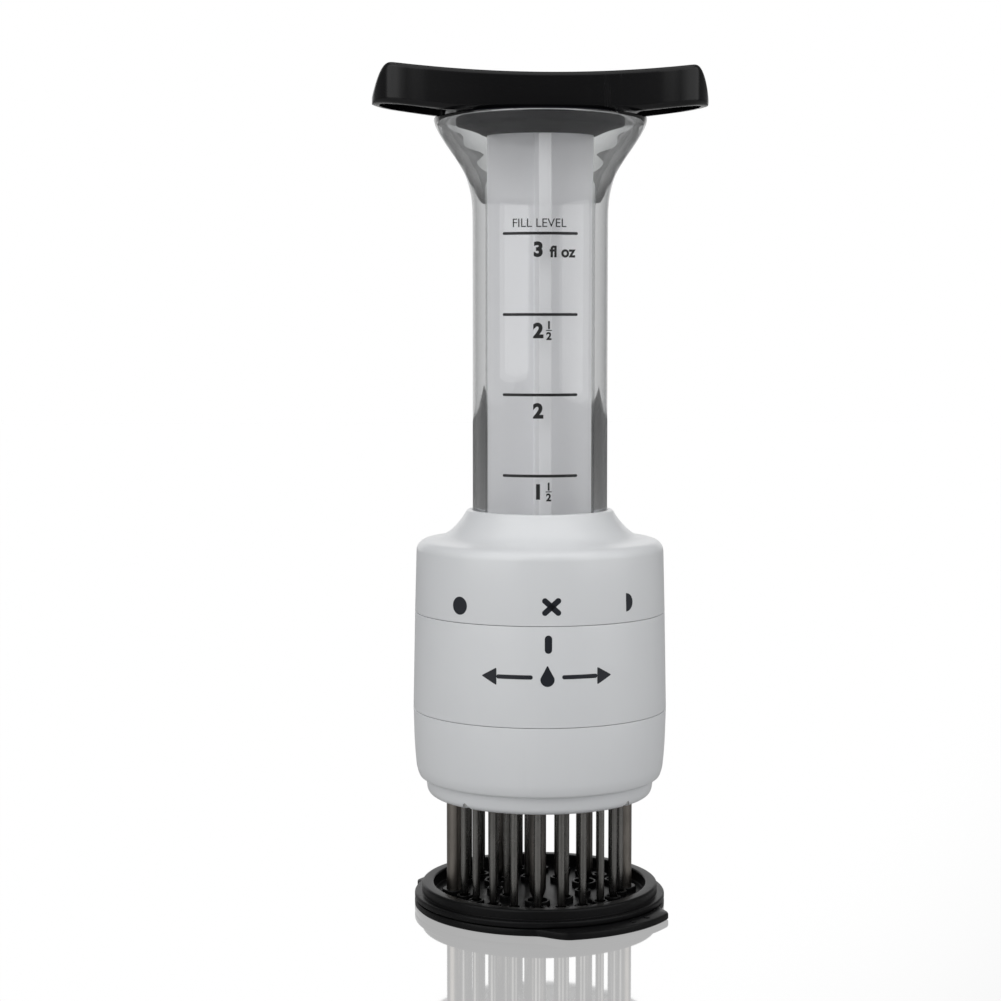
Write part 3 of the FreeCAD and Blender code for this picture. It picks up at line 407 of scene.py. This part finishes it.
def droplet(height):
    bm = bmesh.new()
    bmesh.ops.create_circle(bm, cap_ends=True, segments=40, radius=height * 0.34)
    for vertex in bm.verts:
        rise = max(0, vertex.co.y / (height * 0.34))
        vertex.co.x *= 1 - rise * rise * 0.55
        vertex.co.y += rise ** 3 * height * 0.32
    return bm


twist = joined(shifted(capsule(9.6, 1.1), 8.6, 0), shifted(capsule(9.6, 1.1), -8.6, 0),
               arrowhead(1), arrowhead(-1), shifted(droplet(5.4), 0, -0.6))
printed("twist_arrow", twist, DIAL_WALL, -91.6, 68.0, navy_ink, "needle_housing")

# ---------------------------------------------------------------- housing screws
# Four long zinc-plated screws run from the ring's sunk holes through cup and dial ring into the
# spring bridge.
plated = drawn_steel("plated_screw", (0.50, 0.50, 0.49), (0.38, 0.38, 0.37), 0.25)
dress(plated, "housing_screws")

# ---------------------------------------------------------------- guard posts, clips and springs
# Two thick stainless posts stand in the guard and slide in the bushes.  A spring clip in each
# post's groove carries the coil spring that pushes the guard down.
POST_X = 23.1
post_steel = drawn_steel("post_steel", (0.27, 0.25, 0.225), (0.17, 0.155, 0.14), 0.24)
posts = [turned([(0.9, 2.6), (2.35, 2.6), (2.35, 40.7), (1.9, 40.7), (1.9, 42.0), (2.35, 42.0),
                 (2.35, 50.0, 0.5), (0, 50.0), (0, 8.6), (0.9, 8.6)], side * POST_X, 0, 48)
         for side in (1, -1)]
shown("guide_post_pair", joined(*posts), post_steel, "guard", "post_steel", "guide_posts")
spring_wire = drawn_steel("spring_wire", (0.44, 0.44, 0.45), (0.30, 0.30, 0.31), 0.22)


def coil(x, low, high, radius, wire, turns=8, chords=28, sides=12):
    """A coil spring round an upright axis, of round wire, with closed ends."""
    bm = bmesh.new()
    rings = []
    for step in range(turns * chords + 1):
        angle = math.tau * step / chords
        height = low + (high - low) * step / (turns * chords)
        rings.append([])
        for side in range(sides):
            around = math.tau * side / sides
            reach = radius + wire * math.cos(around)
            rings[-1].append(bm.verts.new(((x + reach * math.cos(angle)) * MM,
                                           reach * math.sin(angle) * MM,
                                           (height + wire * math.sin(around)) * MM)))
    for first, second in zip(rings, rings[1:]):
        for side in range(sides):
            bm.faces.new((first[side - 1], first[side], second[side], second[side - 1]))
    bm.faces.new(rings[0])
    bm.faces.new(rings[-1])
    bmesh.ops.recalc_face_normals(bm, faces=bm.faces[:])
    return bm


SPRING_LOW, SPRING_HIGH = 42.45, 72.55
coils = [coil(side * POST_X, SPRING_LOW, SPRING_HIGH, 2.85, 0.35) for side in (-1, 1)]
springs = shown("spring_coils", joined(*coils), spring_wire, "guard", "spring_steel",
                "return_springs")
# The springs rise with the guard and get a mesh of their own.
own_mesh(springs)
dress(plated, "post_clips", "guard_screws")

# ---------------------------------------------------------------- needle guard
# Dished black plate that the needles pass through: a flange, a raised rim, spokes and a collar
# round each needle.  Glass-filled black plastic with a satin skin; it rests on the food.
GUARD_FLOOR = 3.2
black_satin = moulded("black_satin", (0.004, 0.004, 0.0045), (0.008, 0.008, 0.008), 0.30,
                      skin=0.004, scuffs=0.10, Specular_IOR_Level=0.12)
tray = turned([(0, 0.9), (26.7, 0.9), (26.7, 2.2), (34.2, 2.2, 0.35), (34.2, 3.8, 0.5),
               (32.2, 3.8, 0.15), (32.2, 6.4, 0.7), (29.0, 6.4, 0.5), (29.0, GUARD_FLOOR, 0.3),
               (0, GUARD_FLOOR)], count=160)
HOLES = ([(*spot, PIN_RADIUS + 0.35) for spot in needle_places.values()]
         + [(*polar(TUBE_NEEDLE_CIRCLE, angle), 2.65) for angle in TUBE_NEEDLE_ANGLES])
tray = bored(tray, joined(*[drill(reach, 0, 8, x, y) for x, y, reach in HOLES]))
collars = [turned([(reach, 2.6), (reach + 0.8, 2.6), (reach + 0.8, 4.5, 0.3), (reach, 4.5, 0.3)],
                  x, y, 28) for x, y, reach in HOLES]
sockets = [turned([(2.4, 2.7), (3.65, 2.7), (3.65, 4.5, 0.4), (2.4, 4.5, 0.2)],
                  side * POST_X, 0, 40) for side in (1, -1)]
SPOKE_FOOT, SPOKE_TOP, SPOKE_WIDTH, SPOKE_END = 2.7, 3.98, 1.1, 29.4


def spoke(angle, inner):
    """A low rib on the floor from a radius out to the rim."""
    bm = bmesh.new()
    bmesh.ops.create_cube(bm, size=1)
    bmesh.ops.scale(bm, vec=((SPOKE_END - inner) * MM, SPOKE_WIDTH * MM,
                             (SPOKE_TOP - SPOKE_FOOT) * MM), verts=bm.verts[:])
    bmesh.ops.bevel(bm, geom=bm.edges[:], offset=0.2 * MM, offset_type="OFFSET", affect="EDGES",
                    segments=2, profile=0.5, material=-1)
    bmesh.ops.translate(bm, vec=((inner + SPOKE_END) / 2 * MM, 0,
                                 (SPOKE_TOP + SPOKE_FOOT) / 2 * MM), verts=bm.verts[:])
    bmesh.ops.rotate(bm, cent=(0, 0, 0), matrix=Matrix.Rotation(math.radians(angle), 3, "Z"),
                     verts=bm.verts[:])
    return bm


# One spoke reaches far in; the others stop short of the hollow needles.
LONG_SPOKE, SPOKE_INNER = 90, 17.4
spokes = [spoke(angle, 3.5 if angle == LONG_SPOKE else SPOKE_INNER)
          for angle in range(0, 360, 45) if angle % 180]
shown("guard_tray", joined(tray, *collars, *sockets, *spokes), black_satin, "guard", "black_guard",
      "guard_plate")
dress(black_satin, "base_plate")

# ---------------------------------------------------------------- lock ring
# Flat ring with two thumb lobes, turned by hand under the guard.  Same black plastic; two small
# raised marks show which way it turns.
GUARD_REACH, LOBE_REACH = 34.2, 38.5


def lobe_radius(angle):
    """The ring's outer radius at an angle: it swells smoothly into two lobes."""
    for start in (-97, 83):
        along = (angle - start) % 360
        if along <= 74:
            rise = min(1, along / 15, (74 - along) / 9)
            return GUARD_REACH + (LOBE_REACH - GUARD_REACH) * rise * rise * (3 - 2 * rise)
    return GUARD_REACH


# Heights and radii round the section; where there is no radius, the inset from the lobed outline.
LOCK_SECTION = [(1.1, 27.0, 0), (2.0, 27.0, 0), (2.0, None, 0.5), (1.85, None, 0.15),
                (1.5, None, 0), (0.4, None, 0), (0.0, None, 0.4), (0.0, 29.1, 0), (1.1, 29.1, 0)]
lock = bmesh.new()
loops = []
for height, radius, inset in LOCK_SECTION:
    loops.append([])
    for angle in range(360):
        x, y = polar(radius or lobe_radius(angle) - inset, angle)
        loops[-1].append(lock.verts.new((MM * x, MM * y, height * MM)))
for index, loop in enumerate(loops):
    before = loops[index - 1]
    for step in range(360):
        lock.faces.new((before[step - 1], before[step], loop[step], loop[step - 1]))
bmesh.ops.recalc_face_normals(lock, faces=lock.faces[:])
studs = [turned([(0, 1.9), (0.8, 1.9), (0.8, 2.3, 0.2), (0, 2.3)], *polar(36.1, angle), 24)
         for angle in (-52, -43)]
shown("lock_ring_lobed", joined(lock, *studs), black_satin, "lock", "black_guard", "lock_ring")

# ---------------------------------------------------------------- valve seat and seals
# Floor of the barrel with its ports, a white nylon moulding, sealed by two rubber rings.
dress(nylon, "valve_seat", "barrel_nut", "piston_head", "piston_cap")
dress(seal_rubber, "valve_seal", "seat_ring", "piston_rings")
dress(plated, "neck_clip")

# ---------------------------------------------------------------- barrel
# Thick-walled clear barrel with a flared mouth, moulded in styrene: bright, with painted shade
# that darkens its colour where the wall is seen edge-on, and faint wipe marks.  A clip in its
# groove holds it in the neck.
TUBE_OUTER, BORE = 18.2, 14.75
clear = Finish("clear_styrene", {"Transmission Weight": 1.0, "IOR": 1.5,
                                 "Specular IOR Level": 0.25})
wipes = clear.between(clear.cloud(300, 4, (1, 1, 0.08), 0.6), 0.62, 0.78)
haze = clear.between(clear.cloud(20, 3), 0.3, 0.7)
# Painted shade: the colour darkens to a dark grey where the wall is seen edge-on.
side_on = clear.node("ShaderNodeLayerWeight", {}, {"Blend": 0.5}, output="Facing")
edge = clear.between(side_on, 0.36, 0.92)
body_tint = clear.blend((0.93, 0.94, 0.94), (0.90, 0.91, 0.915), haze)
clear_styrene = clear.done(Base_Color=clear.blend(body_tint, (0.13, 0.135, 0.14), edge),
                           Roughness=wipes * 0.05 + haze * 0.01 + 0.01,
                           Normal=clear.raised(haze, 0.004))
# Light reaches what is inside the barrel straight through its wall.
shadow_ray = clear.node("ShaderNodeLightPath", output="Is Shadow Ray")
diffuse_ray = clear.node("ShaderNodeLightPath", output="Is Diffuse Ray")
passing = clear.maths("MAXIMUM", shadow_ray, diffuse_ray)
lit_through = clear.node("ShaderNodeMixShader", {}, {
    0: passing, 1: Term(clear, clear.shader.outputs[0]),
    2: clear.node("ShaderNodeBsdfTransparent")})
clear.feed(clear.tree.nodes["Material Output"], {"Surface": lit_through})


def curved(points, pieces=5):
    """Points along a smooth line through the given (radius, height) points."""
    path = []
    ends = [points[0], *points, points[-1]]
    for before, first, second, after in zip(ends, ends[1:], ends[2:], ends[3:]):
        for step in range(pieces):
            t = step / pieces
            path.append(tuple(
                0.5 * (2 * b + (c - a) * t + (2 * a - 5 * b + 4 * c - d) * t * t
                       + (3 * b - a - 3 * c + d) * t ** 3)
                for a, b, c, d in zip(before, first, second, after)))
    return path + [points[-1]]


FLARE_OUTSIDE = [(TUBE_OUTER, 186.0), (18.3, 189.8), (18.8, 193.8), (20.2, 198.4), (22.6, 202.5),
                 (25.7, 207.0), (27.9, 210.8), (28.5, 212.8)]
FLARE_INSIDE = [(25.9, 213.0), (24.4, 210.0), (21.6, 205.9), (18.7, 201.9), (16.6, 197.9),
                (15.4, 194.0), (14.85, 190.2), (BORE, 187.0)]
barrel = turned([
    (BORE, 48.0), (TUBE_OUTER, 48.0), (TUBE_OUTER, 90.2), (17.5, 90.2), (17.5, 91.9),
    (TUBE_OUTER, 91.9), *curved(FLARE_OUTSIDE), (28.45, 213.4, 0.2), (26.2, 213.4, 0.2),
    *curved(FLARE_INSIDE)],
    count=160)
shown("barrel_clear", barrel, clear_styrene, "barrel", "clear_barrel", "barrel_tube")

# Fill scale, pad-printed in black on the barrel: four long strokes with their figures.
black_ink = ink("black_ink", (0.010, 0.010, 0.011), (0.022, 0.022, 0.024), 0.38)


def figures(words, height, weight=0.0):
    """Figures as a flat mesh, centred on x, standing on y 0, in millimetres."""
    curve = bpy.data.curves.new("figures", "FONT")
    curve.body = words
    curve.align_x = "CENTER"
    curve.offset = weight
    curve.resolution_u = 5
    holder = bpy.data.objects.new("figures", curve)
    bpy.context.scene.collection.objects.link(holder)
    ready = holder.evaluated_get(bpy.context.evaluated_depsgraph_get())
    mesh = bpy.data.meshes.new_from_object(ready)
    bm = bmesh.new()
    bm.from_mesh(mesh)
    bpy.data.objects.remove(holder)
    bpy.data.curves.remove(curve)
    bpy.data.meshes.remove(mesh)
    low = min(vertex.co.y for vertex in bm.verts)
    high = max(vertex.co.y for vertex in bm.verts)
    bmesh.ops.translate(bm, vec=(0, -low, 0), verts=bm.verts[:])
    bmesh.ops.scale(bm, vec=[height / (high - low)] * 3, verts=bm.verts[:])
    return bm


def half_sign(x, y):
    """The small upright fraction one half."""
    return [shifted(figures("1", 2.1, 0.04), x, y + 2.5), shifted(capsule(1.6, 0.25), x, y + 2.15),
            shifted(figures("2", 2.1, 0.04), x, y - 0.35)]


SCALE_ANGLE = -95.0
strokes = {"3": 182.2, "2h": 161.1, "2": 140.1, "1h": 118.8}
for label, level in strokes.items():
    marks = [capsule(20.7, 0.75), shifted(figures(label[0], 4.1, 0.05), -0.5, -6.2)]
    if label == "3":
        marks.append(shifted(figures("fl oz", 3.1, 0.035), 6.0, -6.3))
        marks.append(shifted(figures("FILL LEVEL", 2.2), -0.3, 1.6))
    if label.endswith("h"):
        marks += half_sign(2.3, -6.3)
    printed(f"scale_{label}", joined(*marks), TUBE_OUTER, SCALE_ANGLE, level, black_ink, "barrel")

# ---------------------------------------------------------------- top housing
# White upper housing: shoulder, hollow-curved neck and a skirt that snaps into the dial ring.
# Same ABS as the rest; the three settings are printed round it.
housing = turned([
    (28.3, 77.0), (31.0, 77.0), (31.0, 78.1), (30.3, 78.1), (30.3, 81.2), (33.9, 81.2, 0.1),
    (33.4, 100.0, 2.3), (30.8, 100.5, 1.4), (27.0, 101.1, 1.4), (24.9, 102.3, 0.9),
    (23.2, 103.8, 0.9), (21.8, 105.4, 0.9), (20.6, 107.0, 0.7), (19.7, 108.6, 0.4),
    (18.4, 108.6), (18.4, 91.9), (22.9, 91.9), (22.9, 84.2),
    (24.9, 84.2), (24.9, 98.6), (31.0, 98.0), (31.0, 82.6), (28.3, 82.6)])
shown("housing_shell", housing, white, "barrel", "white_shell", "top_housing")
HOUSING_WALL = ((81.2, 33.9), (98.3, 33.45))


def disc(radius):
    bm = bmesh.new()
    bmesh.ops.create_circle(bm, cap_ends=True, segments=48, radius=radius)
    return bm


def turned_flat(bm, angle):
    bmesh.ops.rotate(bm, cent=(0, 0, 0), matrix=Matrix.Rotation(math.radians(angle), 3, "Z"),
                     verts=bm.verts[:])
    return bm


cross = joined(turned_flat(capsule(6.1, 1.5), 42), turned_flat(capsule(6.1, 1.5), -42))
half_disc = disc(2.4)
whole_disc = half_disc.verts[:] + half_disc.edges[:] + half_disc.faces[:]
bmesh.ops.bisect_plane(half_disc, geom=whole_disc, plane_co=(0, 0, 0), plane_no=(1, 0, 0),
                       clear_inner=True)
printed("setting_full", disc(2.35), HOUSING_WALL, -133.0, 85.6, navy_ink, "barrel")
printed("setting_shut", cross, HOUSING_WALL, -89.8, 86.2, navy_ink, "barrel")
printed("setting_half", half_disc, HOUSING_WALL, -53.3, 86.4, navy_ink, "barrel")

# ---------------------------------------------------------------- plunger rod
# Cross-shaped rod, a pale natural moulding, with a round foot, a swivel knob that clips into the
# piston and a flange under the handle.
ROD_REACH, WEB = 14.2, 1.65
CROSS_LOW, CROSS_HEIGHT = 66.0, 145.2
natural = moulded("natural_plastic", (0.86, 0.86, 0.88), (0.80, 0.80, 0.815), 0.38, skin=0.003)
rod = bmesh.new()
corners = []
for x_sign, y_sign in ((1, 1), (-1, 1), (-1, -1), (1, -1)):
    arm = [(ROD_REACH * x_sign, WEB * y_sign), (WEB * x_sign, WEB * y_sign),
           (WEB * x_sign, ROD_REACH * y_sign)]
    corners += arm if x_sign * y_sign > 0 else arm[::-1]
base = rod.faces.new([rod.verts.new((x * MM, y * MM, CROSS_LOW * MM)) for x, y in corners])
pushed = bmesh.ops.extrude_face_region(rod, geom=[base])
tops = [item for item in pushed["geom"] if isinstance(item, bmesh.types.BMVert)]
bmesh.ops.translate(rod, vec=(0, 0, CROSS_HEIGHT * MM), verts=tops)
uprights = [edge for edge in rod.edges if abs(edge.verts[0].co.z - edge.verts[1].co.z) > MM]
bmesh.ops.bevel(rod, geom=uprights, offset=0.4 * MM, offset_type="OFFSET", affect="EDGES",
                segments=3, profile=0.5, material=-1)
bmesh.ops.recalc_face_normals(rod, faces=rod.faces[:])
foot = turned([(0, 57.7), (4.6, 57.7, 0.4), (4.6, 60.3, 0.4), (3.2, 60.3), (3.2, 65.0),
               (ROD_REACH, 65.0, 0.3), (ROD_REACH, 66.5, 0.3), (0, 66.5)])
flange = bored(turned([(0, 211.0), (12.0, 211.0, 0.2), (12.0, 213.0), (0, 213.0)]),
               joined(*[drill(2.1, 210, 212.4, *polar(7.5, angle)) for angle in (45, 225)]))
shown("rod_cross", joined(rod, foot, flange), natural, "plunger", "grey_rod", "plunger_rod")

# ---------------------------------------------------------------- handle plug
# Black disc under the handle that closes the barrel's mouth, held by two screws.  Its foot hangs
# down round the rod's top and has hardly any shine.
plug_black = moulded("plug_black", (0.004, 0.004, 0.006), (0.007, 0.007, 0.009), 0.42,
                     skin=0.0005, Specular_IOR_Level=0.02)
plug = turned([(0, 213.1), (14.35, 213.1), (14.35, 208.7), (15.2, 208.7, 0.3), (22.5, 211.4, 0.6),
               (22.7, 214.4, 0.2), (0, 214.4)])
shown("plug_disc", plug, plug_black, "plunger", "black_handle", "handle_plug")
dress(plated, "handle_screws")

# ---------------------------------------------------------------- handle
# Dished hand grip in gloss black plastic: one moulding, solid over the plug and hollow under both
# wings, with soft round edges and rounded ends.
black_gloss = moulded("black_gloss", (0.003, 0.003, 0.0035), (0.006, 0.006, 0.0065), 0.20,
                      skin=0.002, scuffs=0.10, Specular_IOR_Level=0.28)
GRIP_LEVEL, EDGE_ROUND = 214.4, 1.5
SADDLE_LOW, DISH_RADIUS = 224.3, 300


def eased(x, bend, width):
    """0 up to a bend, then one for one, with the bend itself softened."""
    past = x - bend
    return (past + math.sqrt(past * past + width * width)) / 2


def underside(x):
    """The bottom of the grip: flat over the plug, rising gently under the wings."""
    return GRIP_LEVEL + 0.12 * eased(x, 24, 0.8)


def saddle(x):
    """The top of the grip: a shallow dish that drops away at the ends."""
    dished = SADDLE_LOW + DISH_RADIUS - math.sqrt(DISH_RADIUS ** 2 - x ** 2)
    return dished - 0.21 * max(0, eased(x, 40.0, 0.8) - 0.02) ** 2.35


def half_depth(x):
    """Half the grip's depth: a slow curve along the side, then a round end."""
    side = 14.4 - x * x / 460
    end = 13 * math.sqrt(max(0.0, 1 - ((max(x, 33.5) - 33.5) / 11.5) ** 2))
    return min(side, side - 0.9 * eased(side - end, 0.0, 0.9)) if x > 33.5 else side


def grip_section(bm, x):
    """A rounded rectangle of edges across the grip."""
    reach, low, high = half_depth(abs(x)), underside(abs(x)), saddle(abs(x))
    middle, half = (low + high) / 2, max(0.3, (high - low) / 2)
    round_off = min(EDGE_ROUND, reach * 0.9, half * 0.9)
    loop = bmesh.ops.create_circle(bm, segments=44, radius=1)["verts"]
    for index, vertex in enumerate(loop):
        turn = math.radians(90 * (index // 11) + 9 * (index % 11))
        y_sign = 1 if index // 11 in (0, 3) else -1
        z_sign = 1 if index // 11 in (0, 1) else -1
        y = y_sign * (reach - round_off) + round_off * math.cos(turn)
        z = middle + z_sign * (half - round_off) + round_off * math.sin(turn)
        z = max(z, low) if z_sign > 0 else z
        vertex.co = (x * MM, y * MM, z * MM)
    return loop


grip = bmesh.new()
# Evenly spaced sections along the grip, then closer and closer towards each end.
EVEN_REACH, END_REACH, END_STEPS = 36, 8.97, 26
stations = [EVEN_REACH * share / 18 for share in range(-18, 19)]
ends = [EVEN_REACH + END_REACH * math.sin(math.radians(90 * share / END_STEPS))
        for share in range(1, END_STEPS + 1)]
sections = [grip_section(grip, x) for x in [-x for x in reversed(ends)] + stations + ends]
loops = [{edge for vertex in section for edge in vertex.link_edges} for section in sections]
for first, second in zip(loops, loops[1:]):
    bmesh.ops.bridge_loops(grip, edges=list(first | second))
for section in (sections[0], sections[-1]):
    bmesh.ops.contextual_create(grip, geom=section)
bmesh.ops.recalc_face_normals(grip, faces=grip.faces[:])

# The hollows are cut from well below the grip.
HOLLOW_LOW, HOLLOW_HEIGHT = 210, 12.0


def wing_hollow(side):
    """The space under one wing, open below."""
    bm = bmesh.new()
    plan = [(25.5, -9.2, 1.2), (37.0, -9.2, 3.0), (43.0, -4.6, 3.0), (43.0, 4.6, 3.0),
            (37.0, 9.2, 3.0), (25.5, 9.2, 1.2)]
    spots = [bm.verts.new((side * x * MM, y * MM, HOLLOW_LOW * MM)) for x, y, _ in plan]
    bm.faces.new(spots)
    for spot, (x, y, reach) in zip(spots, plan):
        bmesh.ops.bevel(bm, geom=[spot], offset=reach * MM, offset_type="OFFSET",
                        affect="VERTICES", segments=6, profile=0.5, material=-1)
    pushed = bmesh.ops.extrude_face_region(bm, geom=bm.faces[:])
    tops = [item for item in pushed["geom"] if isinstance(item, bmesh.types.BMVert)]
    bmesh.ops.translate(bm, vec=(0, 0, HOLLOW_HEIGHT * MM), verts=tops)
    bmesh.ops.recalc_face_normals(bm, faces=bm.faces[:])
    return bm


grip = bored(grip, joined(wing_hollow(1), wing_hollow(-1)))
shown("handle_saddle", grip, black_gloss, "plunger", "black_handle", "handle_grip")

# ---------------------------------------------------------------- studio
# Glossy floor that looks white and mirrors softly, white surroundings and soft boxes, with the
# camera a little above the middle of the barrel.
bpy.ops.mesh.primitive_plane_add(size=6)
floor = bpy.context.object
floor.name = "studio_floor"
MIRROR_SHARE = 0.80
floor_finish = Finish("studio_floor", {"Roughness": 0.5, "Base Color": (0.5, 0.5, 0.5, 1.0)})
facing = floor_finish.node("ShaderNodeLayerWeight", {}, {"Blend": 0.5}, output="Facing")
mirror = floor_finish.node("ShaderNodeBsdfAnisotropic", {},
                           {"Color": (1.0, 1.0, 1.0, 1.0), "Roughness": 0.04})
lit = floor_finish.node("ShaderNodeEmission", {}, {"Strength": 1.0})
polished = floor_finish.node("ShaderNodeMixShader", {},
                             {0: facing * MIRROR_SHARE, 1: lit, 2: mirror})
seen_floor = floor_finish.node("ShaderNodeLightPath", output="Is Camera Ray")
plain_floor = Term(floor_finish, floor_finish.shader.outputs[0])
whole_floor = floor_finish.node("ShaderNodeMixShader", {},
                                {0: seen_floor, 1: plain_floor, 2: polished})
floor_finish.feed(floor_finish.tree.nodes["Material Output"], {"Surface": whole_floor})
floor.data.materials.append(floor_finish.material)

# The room is white behind the object and grey in front of it; the backdrop itself is always white.
FRONT_GREY, BACK_WHITE, THROUGH_GREY = 0.18, 1.0, 0.62
world = bpy.data.worlds.new("studio")
bpy.context.scene.world = world
world.use_nodes = True
room = world.node_tree
backdrop = room.nodes["Background"]
direction = room.nodes.new("ShaderNodeTexCoord")
axes = room.nodes.new("ShaderNodeSeparateXYZ")
room.links.new(direction.outputs["Generated"], axes.inputs["Vector"])
behind = room.nodes.new("ShaderNodeMapRange")
behind.interpolation_type = "SMOOTHSTEP"
for label, amount in (("From Min", 0.78), ("From Max", 0.95), ("To Min", FRONT_GREY),
                      ("To Max", BACK_WHITE)):
    behind.inputs[label].default_value = amount
room.links.new(axes.outputs["Y"], behind.inputs["Value"])
# What is seen through the clear barrel is an even light grey.
seen = room.nodes.new("ShaderNodeLightPath")
through = room.nodes.new("ShaderNodeMix")
through.inputs["B"].default_value = THROUGH_GREY
room.links.new(seen.outputs["Is Transmission Ray"], through.inputs["Factor"])
room.links.new(behind.outputs["Result"], through.inputs["A"])
level = room.nodes.new("ShaderNodeMath")
level.operation = "MAXIMUM"
room.links.new(seen.outputs["Is Camera Ray"], level.inputs[0])
room.links.new(through.outputs["Result"], level.inputs[1])
backdrop.inputs["Color"].default_value = (1.0, 1.0, 1.0, 1.0)
room.links.new(level.outputs["Value"], backdrop.inputs["Strength"])

SOFT_BOXES = {
    "key_box": ((-0.80, -0.65, 0.60), (1.2, 1.1), 6.2),
    "fill_box": ((0.90, -0.55, 0.55), (1.2, 1.0), 4.8),
    "top_box": ((0.0, -0.25, 1.1), (1.4, 1.2), 5.4),
}
for name, (spot, size, power) in SOFT_BOXES.items():
    lamp = bpy.data.lights.new(name, "AREA")
    lamp.shape = "RECTANGLE"
    lamp.size, lamp.size_y = size
    lamp.energy = power
    box = bpy.data.objects.new(name, lamp)
    box.location = spot
    towards = Vector((0, 0, 0.12)) - Vector(spot)
    box.rotation_euler = towards.to_track_quat("-Z", "Y").to_euler()
    bpy.context.scene.collection.objects.link(box)

lens = bpy.data.cameras.new("camera")
lens.lens = 78.5
lens.sensor_width = 36.0
lens.clip_end = 20.0
camera = bpy.data.objects.new("camera", lens)
camera.location = (-0.0514, -0.5878, 0.1584)
camera.rotation_euler = (math.radians(85.4), 0, math.radians(-3.96))
bpy.context.scene.collection.objects.link(camera)
bpy.context.scene.camera = camera
bpy.context.scene.view_settings.view_transform = "Standard"
